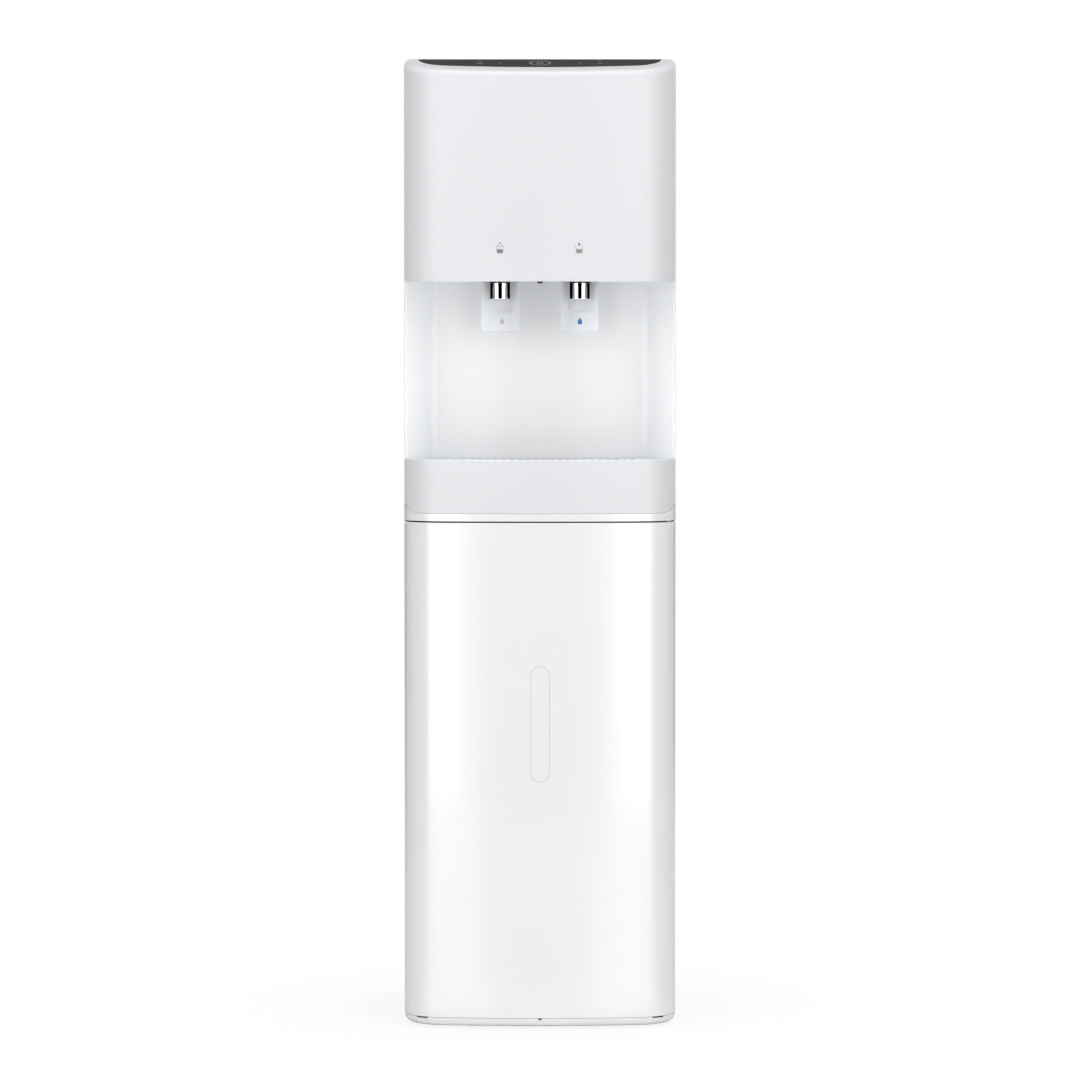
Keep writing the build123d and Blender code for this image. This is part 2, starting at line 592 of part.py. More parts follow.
def glass_space(inset):
    """Space of the glass in the slope, set in from the bowed front."""
    back = RIDGE_Y - GLASS_LIP - (inset - GLASS_INSET)
    space = Pos(0, GLASS_SET_BACK, 0) * bowed(inset, JOINT_Y, COVER_SPLIT_Z, HEIGHT + 1)
    space -= block((-HALF, HALF), (back, JOINT_Y + GLASS_SET_BACK + 1),
                   (COVER_SPLIT_Z - 1, HEIGHT + 2))
    return space - slope_prism(GLASS_T, FRONT_Y - 2, JOINT_Y, COVER_SPLIT_Z - 1)


def control_glass():
    """Black touch glass, flush with the slope."""
    plate = glass_space(GLASS_INSET)
    return plate & slope_prism(0, FRONT_Y - 2, JOINT_Y, COVER_SPLIT_Z - 1)


def touch_board():
    """Touch circuit pressed up against the seat under the glass."""
    lift = 2 * GLASS_T + GLASS_GAP
    area = bowed(GLASS_INSET + BOARD_MARGIN, JOINT_Y, COVER_SPLIT_Z, HEIGHT)
    area = Pos(0, GLASS_SET_BACK, 0) * area
    area -= block((-HALF, HALF), (RIDGE_Y - BOARD_MARGIN, JOINT_Y + GLASS_SET_BACK + 1),
                  (COVER_SPLIT_Z - 1, HEIGHT + 1))
    board = area & slope_prism(lift, FRONT_Y - 2, JOINT_Y, COVER_SPLIT_Z - 1)
    return board - slope_prism(lift + BOARD_T, FRONT_Y - 2, JOINT_Y, COVER_SPLIT_Z - 2)


# ---------------------------------------------------------------- niche and dispensing
def niche_liner():
    """Slanted side walls and back wall of the niche, with the posts that edge its mouth."""
    walls = niche_prism(LINER_T, JOINT_Y + SEAM, NICHE_BACK_Y + LINER_T, DECK_TOP, NICHE_TOP,
                        NICHE_CREASE_R + LINER_T)
    posts = block((-HALF, HALF), (NICHE_FRONT_Y, JOINT_Y + SEAM), (TRAY_TOP + SEAM, NICHE_TOP))
    cavity = niche_prism(0, FRONT_Y, NICHE_BACK_Y, DECK_TOP - 1, NICHE_TOP + 1, NICHE_CREASE_R)
    liner = walls + posts - cavity
    edges = liner.edges().filter_by(Axis.Z).group_by(Axis.Y)[0]
    return fillet(edges, 1.0)


def dispense_deck():
    """Underside of the housing: holes for the taps, slots and pivot ears for the paddles."""
    top = NICHE_TOP + SHELL
    deck = bowed(SHELL + SEAM, NICHE_BACK_Y + LINER_T, NICHE_TOP, top)
    for x in TAPS.values():
        deck += post(x, TAP_Y, NICHE_TOP, top + SLEEVE_SEAT, SLEEVE_R + 3)
        deck -= post(x, TAP_Y, NICHE_TOP - 1, top + SLEEVE_SEAT + 1, SLEEVE_R + PIVOT_CLEAR)
        slot_half = PADDLE_W / 2 + PADDLE_SLOT_GAP
        deck -= block((x - slot_half, x + slot_half),
                      (PADDLE_Y - PADDLE_T, PADDLE_Y + PADDLE_FLANGE + 2), (NICHE_TOP - 1, top + 1))
        for sign in SIDES.values():
            near = x + sign * slot_half
            deck += block((near, near + sign * DECK_EAR_T),
                          (PIVOT_Y - DECK_EAR_R, PIVOT_Y + DECK_EAR_R),
                          (top - 1, PIVOT_Z + DECK_EAR_R))
        pin_half = slot_half + DECK_EAR_T + 1
        deck -= rod_x(x - pin_half, x + pin_half, PIVOT_Y, PIVOT_Z, PIVOT_R)
    deck -= post(0, LENS_Y, NICHE_TOP - 1, top + 1, LENS_R)
    return deck


def sensor_lens():
    """Domed lens of the niche light, flanged above the deck."""
    dome = post(0, LENS_Y, NICHE_TOP - LENS_DROP, NICHE_TOP + SHELL, LENS_R)
    dome = fillet(dome.edges().group_by(Axis.Z)[0], LENS_R * 0.6)
    return dome + post(0, LENS_Y, NICHE_TOP + SHELL, NICHE_TOP + SHELL + 1.5, LENS_R + 2)


def nozzle_sleeve(x):
    """Chrome sleeve through the deck with a seating flange on top."""
    top = SLEEVE_TOP + SLEEVE_FLANGE
    body = post(x, TAP_Y, SLEEVE_Z0, SLEEVE_TOP, SLEEVE_R)
    body += post(x, TAP_Y, SLEEVE_TOP, top, SLEEVE_R + SLEEVE_FLANGE)
    body = fillet(body.edges().group_by(Axis.Z)[0], 1.2)
    return body - post(x, TAP_Y, SLEEVE_Z0 - 1, top + 1, SLEEVE_BORE)


def nozzle_tip(x):
    """Inner spout, recessed in the sleeve and fed by the valve above."""
    body = post(x, TAP_Y, SLEEVE_Z0 + TIP_RECESS, VALVE_Z0, TIP_R)
    body = fillet(body.edges().group_by(Axis.Z)[0], 1.0)
    return body - post(x, TAP_Y, SLEEVE_Z0 - 1, VALVE_Z0 + 1, TIP_BORE)


def dispense_valve(x):
    """Solenoid valve: brass body on the spout and a coil in its steel frame on top."""
    z1 = VALVE_Z0 + VALVE_BODY_H
    z2 = z1 + VALVE_COIL_H
    body = block((x - VALVE_HALF + 1, x + VALVE_HALF - 1),
                 (TAP_Y - VALVE_FRONT, TAP_Y + VALVE_BACK), (VALVE_Z0, z1))
    body = fillet(body.edges().filter_by(Axis.Z), 3)
    body -= post(x, TAP_Y, VALVE_Z0 - 1, VALVE_Z0 + VALVE_BODY_H / 2, TIP_BORE)
    frame = block((x - VALVE_HALF, x + VALVE_HALF),
                  (TAP_Y - VALVE_BACK, TAP_Y + VALVE_BACK), (z1, z2))
    frame -= block((x - VALVE_HALF - 1, x + VALVE_HALF + 1),
                   (TAP_Y - VALVE_BACK + COIL_FRAME_T, TAP_Y + VALVE_BACK - COIL_FRAME_T),
                   (z1 + COIL_FRAME_T, z2 - COIL_FRAME_T))
    return body + frame + post(x, TAP_Y, z1, z2, COIL_R)


def paddle(x):
    """Push paddle: plate with side flanges, a recess behind the tap and ears for its pin."""
    half = PADDLE_W / 2
    plate = block((x - half, x + half), (PADDLE_Y, PADDLE_Y + PADDLE_T),
                  (PADDLE_Z0, PIVOT_Z + PADDLE_EAR_R))
    flange_z = (PADDLE_Z0 + 2, NICHE_TOP - 2)
    for sign in SIDES.values():
        edge = x + sign * half
        plate += block((edge, edge - sign * 2), (PADDLE_Y, PADDLE_Y + PADDLE_FLANGE), flange_z)
        ear_x = x + sign * (half - PADDLE_EAR_W / 2)
        plate += rod_x(ear_x - PADDLE_EAR_W / 2, ear_x + PADDLE_EAR_W / 2, PIVOT_Y, PIVOT_Z,
                       PADDLE_EAR_R)
    plate -= block((x - half + PADDLE_EAR_W, x + half - PADDLE_EAR_W),
                   (PADDLE_Y - 1, PIVOT_Y + PADDLE_EAR_R + 1),
                   (PIVOT_Z - PIVOT_R - 1, PIVOT_Z + PADDLE_EAR_R + 1))
    recess = block((x - RECESS_W / 2, x + RECESS_W / 2),
                   (PADDLE_Y - 1, PADDLE_Y + RECESS_DEPTH), (RECESS_Z0, NICHE_TOP))
    plate -= fillet(recess.edges().filter_by(Axis.Y).group_by(Axis.Z)[0], 3)
    plate -= rod_x(x - half - 1, x + half + 1, PIVOT_Y, PIVOT_Z, PIVOT_R + PIVOT_CLEAR)
    corners = plate.edges().filter_by(Axis.Y).group_by(Axis.Z)[0]
    return fillet(corners, 1.5)


def paddle_pins():
    """Steel pins that the paddles hang on, held by the deck's ears."""
    reach = PADDLE_W / 2 + PADDLE_SLOT_GAP + DECK_EAR_T
    return Compound(children=[
        rod_x(x - reach, x + reach, PIVOT_Y, PIVOT_Z, PIVOT_R) for x in TAPS.values()])


def paddle_switches():
    """Microswitches behind the paddles, on feet that stand on the deck."""
    group = []
    wide, deep, tall = SWITCH_BODY
    y = PADDLE_Y + PADDLE_T + LEVER_REACH
    z = NICHE_TOP + SHELL
    for x in TAPS.values():
        body = block((x - wide / 2, x + wide / 2), (y, y + deep), (z, z + tall))
        lever = block((x - wide / 2 + 1, x + wide / 2 - 1),
                      (PADDLE_Y + PADDLE_T + LEVER_GAP, y + 1), (z + 1, z + 4))
        group.append(body + lever)
    return Compound(children=group)


# ---------------------------------------------------------------- deck and drip tray
def mid_frame():
    """Band over the door in one piece with the deck that carries tray and machinery."""
    band = bowed(0, JOINT_Y, DECK_Z0, FASCIA_Z0 + TRAY_CORNER_R)
    tray_room = front_outline(TRAY_CORNER_OUT + SEAM, DECK_TOP, TRAY_TOP,
                              TRAY_CORNER_R + SEAM, JOINT_Y + 1)
    under = bowed(SHELL, JOINT_Y + 1, DECK_Z0 - 1, DECK_TOP - DECK_T)
    frame = band - tray_room - under
    frame += block((-HALF + REAR_FLANGE, HALF - REAR_FLANGE), (JOINT_Y - 1, PANEL_Y + SHEET + 1),
                   (DECK_TOP - DECK_T, DECK_TOP))
    frame += block((-HALF + SHEET, HALF - SHEET), (PANEL_Y + SHEET + SEAM, SHEET_BACK - SHEET - SEAM),
                   (DECK_TOP - DECK_T, DECK_TOP))
    for x in DECK_RIBS_X:
        frame += block((x - DECK_RIB_T / 2, x + DECK_RIB_T / 2), (FRONT_Y + 8, SHEET_BACK - 5),
                       (DECK_Z0, DECK_TOP - 1))
    frame += post(HINGE_X, HINGE_Y, DECK_Z0, DECK_TOP - 1, HINGE_BOSS_R)
    frame -= post(HINGE_X, HINGE_Y, DECK_Z0 - 1, DECK_TOP - 1, HINGE_PIN_R)
    frame -= post(*PROBE_XY, DECK_Z0 - 1, DECK_TOP + 1, HOSE_R + 2)
    frame -= post(*HOT_XY, DECK_Z0 - 1, DECK_TOP + 1, PIPE_R + 2)
    return frame


def tray_plan(inset, z0, z1, side_gap):
    """Upright solid on the drip tray's plan: bowed in front, slanted behind."""
    front = bowed(inset, JOINT_Y - SEAM - inset, z0, z1)
    rear = niche_prism(-side_gap - inset, JOINT_Y - SEAM - inset - 1, TRAY_BACK_Y - inset,
                       z0, z1, max(NICHE_CREASE_R - inset, 3.0))
    return front + rear


def drip_tray():
    """Catch basin behind a bowed fascia, with a ledge for the grille."""
    outer = tray_plan(0, FASCIA_Z0, TRAY_TOP, TRAY_SIDE_GAP)
    outer &= front_outline(TRAY_CORNER_OUT, FASCIA_Z0, TRAY_TOP + 1, TRAY_CORNER_R, NICHE_BACK_Y)
    seat = tray_plan(TRAY_RIM, TRAY_LEDGE, TRAY_TOP + 1, GRILLE_SIDE)
    basin = tray_plan(TRAY_RIM + TRAY_WALL, FASCIA_Z0 + TRAY_WALL, TRAY_TOP + 1,
                      GRILLE_SIDE - TRAY_BACK_STEP)
    hollow = bowed(SHELL, JOINT_Y - SEAM - SHELL, FASCIA_Z0 - 1, TRAY_LEDGE - 3)
    hollow &= front_outline(TRAY_CORNER_OUT - SHELL, FASCIA_Z0 + SHELL, TRAY_TOP,
                            TRAY_CORNER_R - SHELL, NICHE_BACK_Y)
    hollow -= tray_plan(TRAY_RIM, FASCIA_Z0 - 3, TRAY_TOP, GRILLE_SIDE)
    tray = outer - basin - seat - hollow
    return fillet(tray.edges().filter_by(GeomType.CIRCLE).group_by(Axis.Z)[-1].sort_by(Axis.Y)[0],
                  0.8)


def drip_grille():
    """Slotted plate that lies on the tray's ledge and lifts out."""
    z0 = TRAY_LEDGE + SEAM / 3
    plate = tray_plan(TRAY_RIM + GRILLE_GAP, z0, z0 + GRILLE_T, GRILLE_SIDE)
    count = int((2 * NICHE_BACK - 2 * SLOT_PITCH) / SLOT_PITCH)
    low_y = FRONT_Y + SLOT_MARGIN
    for length in SLOT_ROW:
        for i in range(count):
            x = (i - (count - 1) / 2) * SLOT_PITCH
            plate -= block((x - SLOT_W / 2, x + SLOT_W / 2), (low_y, low_y + length),
                           (z0 - 1, z0 + GRILLE_T + 1))
        low_y += length + SLOT_BAR
    return plate


# ---------------------------------------------------------------- door
def door_outer_panel():
    """Bowed outer skin with its returns, a skirt at the bottom and two hinge bosses."""
    outer = bowed(0, DOOR_BACK_Y, DOOR_Z0, DOOR_Z1)
    inside = bowed(SHELL, DOOR_BACK_Y + 1, DOOR_RETURN_Z, DOOR_Z1 - RETURN_T)
    skirt = bowed(SHELL, DOOR_BACK_Y + 1, DOOR_Z0 - 1, DOOR_RETURN_Z - RETURN_T)
    mouth = block((-HALF + DOOR_MOUTH, HALF - DOOR_MOUTH), (DOOR_LINER_Y, DOOR_BACK_Y + 1),
                  (DOOR_Z0 - 1, DOOR_Z1 + 1))
    door = outer - inside - skirt - mouth
    door = fillet(door.edges().filter_by(GeomType.CIRCLE).group_by(Axis.Z)[-1].sort_by(Axis.Y)[0],
                  1.0)
    low = (DOOR_RETURN_Z - 1, DOOR_RETURN_Z + 2 * HINGE_DEPTH)
    high = (DOOR_Z1 - 2 * HINGE_DEPTH, DOOR_Z1 - 1)
    for z in (low, high):
        door += block((HINGE_X - HINGE_BOSS_R, HALF - SHELL + 0.5),
                      (HINGE_Y - HINGE_BOSS_R, DOOR_BACK_Y), z)
    bore = HINGE_PIN_R + HINGE_CLEAR
    door -= post(HINGE_X, HINGE_Y, DOOR_Z0, DOOR_RETURN_Z + HINGE_DEPTH + 2, bore)
    door -= post(HINGE_X, HINGE_Y, DOOR_Z1 - HINGE_DEPTH - 2, DOOR_Z1 + 1, bore)
    return door - inlay_space(INLAY_GAP)


def inlay_space(grow):
    """Pill-shaped space in the door's face, a little deeper than the inlay is proud."""
    face = Plane.XZ * SlotOverall(INLAY_H + 2 * grow, INLAY_W + 2 * grow, rotation=90)
    pill = Pos(0, DOOR_BACK_Y, INLAY_Z) * extrude(face, amount=FRONT_Y * -1, dir=(0, -1, 0))
    return pill - bowed(INLAY_T, DOOR_BACK_Y, DOOR_Z0, DOOR_Z1)


def door_inlay():
    """Pill-shaped insert, flush with the bowed door."""
    return inlay_space(0) & bowed(0, DOOR_BACK_Y, DOOR_Z0, DOOR_Z1)


def door_inner_panel():
    """Flat inner liner with stiffening ribs on its hidden side."""
    y0 = DOOR_LINER_Y - LINER_SHEET
    rib_y = (y0 - LINER_RIB_H, y0 + 1)
    z0 = DOOR_RETURN_Z + SEAM / 2
    z1 = DOOR_Z1 - RETURN_T - SEAM / 2
    sheet = block((-HALF, HALF), (y0, DOOR_LINER_Y), (z0, z1))
    count = int(WIDTH / LINER_RIB_PITCH) - 1
    reach = (count - 1) / 2 * LINER_RIB_PITCH
    for i in range(count):
        x = i * LINER_RIB_PITCH - reach
        sheet += block((x - 1, x + 1), rib_y, (z0 + 20, z1 - 20))
    for row in range(LINER_RIB_ROWS):
        z = z0 + (row + 1) * (z1 - z0) / (LINER_RIB_ROWS + 1)
        sheet += block((-reach, reach), rib_y, (z - 1, z + 1))
    return sheet & bowed(SHELL + SEAM / 2, DOOR_BACK_Y, z0, z1)


def door_magnet():
    """Catch magnet in the door's free edge."""
    x0 = -HALF + SHELL + 0.1
    y1 = FLANGE_Y - SHEET - MAGNET_GAP
    body = block((x0, x0 + MAGNET[0]), (y1 - MAGNET[1], y1),
                 (MAGNET_Z - MAGNET[2] / 2, MAGNET_Z + MAGNET[2] / 2))
    return fillet(body.edges().filter_by(Axis.Z), 1)


def strike_plate():
    """Steel plate on the left side's flange that the magnet holds to."""
    x0 = -HALF + SHELL + 0.1
    return block((x0, x0 + MAGNET[0] - 2), (FLANGE_Y - SHEET, FLANGE_Y),
                 (MAGNET_Z - MAGNET[2] / 2 - STRIKE_OVER, MAGNET_Z + MAGNET[2] / 2 + STRIKE_OVER))


def hinge_pins():
    """Lower pin standing in the base and upper pin hanging from the deck."""
    lower = post(HINGE_X, HINGE_Y, FLOOR_TOP + 1, DOOR_RETURN_Z + HINGE_DEPTH, HINGE_PIN_R)
    upper = post(HINGE_X, HINGE_Y, DOOR_Z1 - HINGE_DEPTH, DECK_TOP - 1, HINGE_PIN_R)
    return Compound(children=[lower, upper])


def hinge_washer():
    """Nylon washer that the door turns on."""
    top = DOOR_RETURN_Z - RETURN_T - SEAM / 2
    ring = post(HINGE_X, HINGE_Y, BASE_TOP, top, HINGE_BOSS_R)
    return ring - post(HINGE_X, HINGE_Y, BASE_TOP - 1, top + 1, HINGE_PIN_R + HINGE_CLEAR)


# ---------------------------------------------------------------- machinery
def compressor_spots():
    """Centres of the compressor's four grommets."""
    x, y = COMPRESSOR_XY
    pitch_x, pitch_y = GROMMET_PITCH
    return [(x + sx * pitch_x / 2, y + sy * pitch_y / 2) for sx in (-1, 1) for sy in (-1, 1)]


def compressor_grommets():
    """Rubber grommets between deck and compressor."""
    group = []
    for x, y in compressor_spots():
        ring = post(x, y, DECK_TOP, DECK_TOP + GROMMET_H, GROMMET_R)
        group.append(fillet(ring.edges().group_by(Axis.Z)[-1], 2))
    return Compound(children=group)


def compressor():
    """Hermetic compressor: welded shell on a footplate, with terminal box and stub tubes."""
    x, y = COMPRESSOR_XY
    z0 = DECK_TOP + GROMMET_H
    wide, deep, thick = FOOTPLATE
    z1 = z0 + thick + COMPRESSOR_H
    plate = block((x - wide / 2, x + wide / 2), (y - deep / 2, y + deep / 2), (z0, z0 + thick))
    plate = fillet(plate.edges().filter_by(Axis.Z), 10)
    shell = post(x, y, z0 + thick - 1, z1, COMPRESSOR_R)
    shell = fillet(shell.edges().group_by(Axis.Z)[-1], COMPRESSOR_DOME_R)
    seam_z = z0 + COMPRESSOR_H / 2
    weld = post(x, y, seam_z, seam_z + 5, COMPRESSOR_R + 2.5)
    deep, long, tall = TERMINALS
    box_z = z0 + TERMINALS_RISE
    terminals = block((x - wide / 2, x - COMPRESSOR_R + deep), (y - long / 2, y + long / 2),
                      (box_z, box_z + tall))
    return plate + shell + weld + terminals


def tank(x, y, z0, z1, r, low_r, high_r):
    """Upright hollow vessel with rounded ends."""
    vessel = None
    for wall in (0, TANK_WALL):
        body = post(x, y, z0 + wall, z1 - wall, r - wall)
        body = fillet(body.edges().group_by(Axis.Z)[-1], high_r - wall)
        body = fillet(body.edges().group_by(Axis.Z)[0], low_r - wall)
        vessel = body if vessel is None else vessel - body
    return vessel


def hot_tank():
    """Stainless hot tank on its skirt, with a drain stub below and a domed top."""
    x, y = HOT_XY
    z = DECK_TOP + TANK_SKIRT_H
    skirt = post(x, y, DECK_TOP, z + 2, HOT_R - 4)
    skirt -= post(x, y, DECK_TOP - 1, z + 3, HOT_R - 4 - TANK_SKIRT_T)
    return skirt + tank(x, y, z, HOT_TOP, HOT_R, 6, 18)


def tank_shelf():
    """Folded shelf between the side panels that carries cold tank and pump."""
    half = HALF - SHEET - SEAM / 2
    y = (NICHE_BACK_Y + LINER_T + SEAM, SHEET_BACK - SHEET - SEAM)
    shelf = block((-half, half), y, (SHELF_Z, SHELF_TOP))
    for sign in SIDES.values():
        shelf += block((sign * half, sign * (half - SHELF_T)), y, (SHELF_Z - SHELF_FOLD, SHELF_TOP))
    shelf -= post(*HOT_XY, SHELF_Z - 1, SHELF_TOP + 1, PIPE_R + 3)
    return shelf - post(*PROBE_XY, SHELF_Z - 1, SHELF_TOP + 1, HOSE_R + 1)


def cold_tank():
    """Stainless cold tank."""
    x, y = COLD_XY
    return tank(x, y, COLD_Z0, COLD_Z0 + COLD_H, COLD_R, 8, 8)


def evaporator_coil():
    """Copper evaporator wound round the cold tank, one unbroken tube."""
    x, y = COLD_XY
    z0 = COLD_Z0 + COIL_END
    path = Helix(COIL_PITCH, COIL_PITCH * COIL_TURNS, COLD_R + COIL_TUBE_R + SEAM)
    start = Plane(origin=path @ 0, z_dir=path % 0)
    return Pos(x, y, z0) * sweep(start * Circle(COIL_TUBE_R), path=path, is_frenet=True)


def cold_tank_insulation():
    """Foam jacket with its base and lid round the cold tank and the evaporator."""
    x, y = COLD_XY
    foam = post(x, y, SHELF_TOP, FOAM_TOP, FOAM_R)
    foam = fillet(foam.edges().group_by(Axis.Z)[-1], 6)
    return foam - post(x, y, COLD_Z0, COLD_Z0 + COLD_H, FOAM_R - FOAM_WALL)


def pump():
    """Diaphragm pump upright on the shelf, over the hole of its suction hose."""
    x, y = PROBE_XY
    wide, deep, thick = PUMP_FOOT
    plate = block((x - wide / 2, x + wide / 2), (y - deep / 2, y + deep / 2),
                  (SHELF_TOP, SHELF_TOP + thick))
    plate = fillet(plate.edges().filter_by(Axis.Z), 5)
    head = post(x, y, SHELF_TOP + thick - 1, SHELF_TOP + PUMP_HEAD_H, PUMP_HEAD_R)
    motor = post(x, y, SHELF_TOP + PUMP_HEAD_H, SHELF_TOP + PUMP_H, PUMP_MOTOR_R)
    motor = fillet(motor.edges().group_by(Axis.Z)[-1], 4)
    return plate + head + motor + rod_y(x, y - PUMP_PORT_L, y, PORT_Z, PIPE_R)


def pump_hoses():
    """Suction hose from the probe up to the pump, and delivery hose on to the cold tank."""
    x, y = PROBE_XY
    suction = post(x, y, PROBE_CAP_Z + PROBE_CAP_H, SHELF_TOP, HOSE_R)
    high = FOAM_TOP + HOSE_RISE
    in_x, in_y = COLD_XY[0] - HOSE_IN_X, COLD_XY[1]
    points = [(x, y - PUMP_PORT_L, PORT_Z), (x, y - HOSE_REACH, PORT_Z), (x, y - HOSE_REACH, high),
              (in_x, in_y, high), (in_x, in_y, FOAM_TOP)]
    return Compound(children=[suction, pipe(points, PIPE_R, HOSE_BEND)])


def dispense_pipes():
    """Hot and cold pipes from the tanks to the valves."""
    z = VALVE_Z0 + VALVE_BODY_H / 2
    end_y = TAP_Y + VALVE_BACK
    hot_x, hot_y = HOT_XY
    turn_y = (hot_y + end_y) / 2 - HOSE_BEND
    hot = pipe([(hot_x, hot_y, HOT_TOP), (hot_x, hot_y, z), (-TAP_X, turn_y, z),
                (-TAP_X, end_y, z)], PIPE_R, HOSE_BEND)
    foam_y = COLD_XY[1] - sqrt(FOAM_R ** 2 - (TAP_X - COLD_XY[0]) ** 2)
    cold = rod_y(TAP_X, end_y, foam_y - SEAM / 2, z, PIPE_R)
    return Compound(children=[hot, cold])


def drain_pipe():
    """Drain from the hot tank down through the deck to the spigot at the back."""
    x, y = HOT_XY
    cross_z = DECK_Z0 - 28
    points = [(x, y, DECK_TOP + TANK_SKIRT_H), (x, y, cross_z), (DRAIN_X, DRAIN_PIPE_Y, cross_z),
              (DRAIN_X, DRAIN_PIPE_Y, DRAIN_Z), (DRAIN_X, SHEET_BACK, DRAIN_Z)]
    return pipe(points, PIPE_R, 9)


def main_board():
    """Control board on a moulded carrier on the left side panel."""
    x0 = -HALF + SHEET
    floor_x = x0 + CARRIER_T
    y1 = CASE_BACK_Y - BOARD_INSET[0]
    z1 = COVER_SPLIT_Z - BOARD_INSET[1]
    y0, z0 = y1 - BOARD_SIZE[0], z1 - BOARD_SIZE[1]
    within = CARRIER_T + 1
    carrier = block((x0, x0 + CARRIER_H), (y0, y1), (z0, z1))
    carrier -= block((floor_x, x0 + CARRIER_H + 1), (y0 + within, y1 - within),
                     (z0 + within, z1 - within))
    board = block((floor_x, floor_x + BOARD_T), (y0 + within, y1 - within),
                  (z0 + within, z1 - within))
    for place, length, tall in RELAYS:
        board += block((floor_x, x0 + tall), (y0 + place, y0 + place + length),
                       (z0 + RELAY_RISE, z0 + RELAY_RISE + RELAY_W))
    board += rod_x(floor_x, x0 + 2.5 * CAPACITOR_R, y0 + CAPACITOR_INSET[0],
                   z1 - CAPACITOR_INSET[1], CAPACITOR_R)
    return carrier + board


def filter_drier():
    """Copper filter drier upright at the rear panel."""
    y = SHEET_BACK - DRIER_R - SEAM
    low = DECK_TOP + DRIER_RISE
    high = low + DRIER_H
    body = post(DRIER_X, y, low, high, DRIER_R)
    body = fillet(body.edges().group_by(Axis.Z)[0] + body.edges().group_by(Axis.Z)[-1], 6)
    return body + post(DRIER_X, y, low - DRIER_STUB, high + DRIER_STUB, DRIER_STUB_R)


# ---------------------------------------------------------------- bottle bay
def probe():
    """Suction probe on its hanger: bottle cap, dip tube and strainer foot."""
    x, y = PROBE_XY
    ceiling = PROBE_CAP_Z + PROBE_CAP_H - PROBE_CAP_TOP_T
    cap = post(x, y, PROBE_CAP_Z, PROBE_CAP_Z + PROBE_CAP_H, PROBE_CAP_R)
    cap = fillet(cap.edges().group_by(Axis.Z)[-1], 5)
    cap -= post(x, y, PROBE_CAP_Z - 1, ceiling, PROBE_CAP_R - PROBE_CAP_WALL)
    low = FLOOR_TOP + PROBE_FLOOR_GAP
    tube = post(x, y, low, ceiling + 1, PROBE_R)
    strainer = post(x, y, low, low + STRAINER_H, STRAINER_R)
    return cap + tube + fillet(strainer.edges().group_by(Axis.Z)[0], 3)


def probe_hanger():
    """Fork on the rear panel that the probe's cap hangs in."""
    x, y = PROBE_XY
    z = PROBE_CAP_Z - SEAM
    tall = (z - HANGER_T, z)
    fork = block((x - HANGER_FORK, x + HANGER_FORK), (y - HANGER_SLOT - 2, SHEET_BACK), tall)
    fork += block((x - HANGER_HALF, x + HANGER_HALF), (y + HANGER_SLOT, SHEET_BACK), tall)
    wall = block((x - HANGER_HALF, x + HANGER_HALF), (SHEET_BACK - HANGER_T, SHEET_BACK),
                 (z - HANGER_DROP, z))
    slot = block((x - HANGER_SLOT, x + HANGER_SLOT), (y - HANGER_SLOT - 3, y),
                 (z - HANGER_T - 1, z + 1))
    return fork + wall - slot - post(x, y, z - HANGER_T - 1, z + 1, HANGER_SLOT)


# ---------------------------------------------------------------- back
def condenser_tube():
    """Serpentine tube with half-round bends; both ends turn in through the rear panel."""
    radius = CONDENSER_PITCH / 2
    turn = CONDENSER_TURN
    half_turn = turn * sin(pi / 4)
    side_x = CONDENSER_HALF + turn
    z = CONDENSER_Z0
    path = [Line((side_x, SHEET_BACK - CONDENSER_STUB, z), (side_x, TUBE_Y - turn, z)),
            ThreePointArc((side_x, TUBE_Y - turn, z),
                          (CONDENSER_HALF + half_turn, TUBE_Y - turn + half_turn, z),
                          (CONDENSER_HALF, TUBE_Y, z))]
    x = CONDENSER_HALF
    for run in range(CONDENSER_RUNS):
        path.append(Line((x, TUBE_Y, z), (-x, TUBE_Y, z)))
        x = -x
        if run < CONDENSER_RUNS - 1:
            bulge = x + (radius if x > 0 else -radius)
            top = z + CONDENSER_PITCH
            path.append(ThreePointArc((x, TUBE_Y, z), (bulge, TUBE_Y, z + radius), (x, TUBE_Y, top)))
            z = top
    path.append(ThreePointArc((CONDENSER_HALF, TUBE_Y, z),
                              (CONDENSER_HALF + half_turn, TUBE_Y - turn + half_turn, z),
                              (side_x, TUBE_Y - turn, z)))
    path.append(Line((side_x, TUBE_Y - turn, z), (side_x, SHEET_BACK - CONDENSER_STUB, z)))
    path = Wire(path)
    start = Plane(origin=path @ 0, z_dir=path % 0)
    return sweep(start * Circle(CONDENSER_TUBE_R), path=path)


def condenser_wires():
    """Upright wires welded across both faces of the serpentine."""
    z0 = CONDENSER_Z0 - WIRE_OVERHANG
    z1 = CONDENSER_Z0 + CONDENSER_RISE + WIRE_OVERHANG
    offset = CONDENSER_TUBE_R + WIRE_R
    return Compound(children=[
        post((i - (WIRES - 1) / 2) * WIRE_PITCH, TUBE_Y + face * offset, z0, z1, WIRE_R)
        for i in range(WIRES) for face in (-1, 1)])


def condenser_brackets():
    """Four folded stand-offs between rear panel and condenser tube."""
    group = []
    between = (WIRES / 2 - 1) * WIRE_PITCH
    for x in (-between, between):
        for run in (1, CONDENSER_RUNS - 2):
            z = CONDENSER_Z0 + run * CONDENSER_PITCH
            tip = TUBE_Y - CONDENSER_TUBE_R - 0.1
            base = block((x - BRACKET_W, x + 2), (CASE_BACK_Y, CASE_BACK_Y + BRACKET_T),
                         (z - BRACKET_H / 2, z + BRACKET_H / 2))
            arm = block((x - BRACKET_T / 2, x + BRACKET_T / 2), (CASE_BACK_Y, tip),
                        (z - BRACKET_H / 4, z + BRACKET_H / 4))
            group.append(base + arm)
    return Compound(children=group)


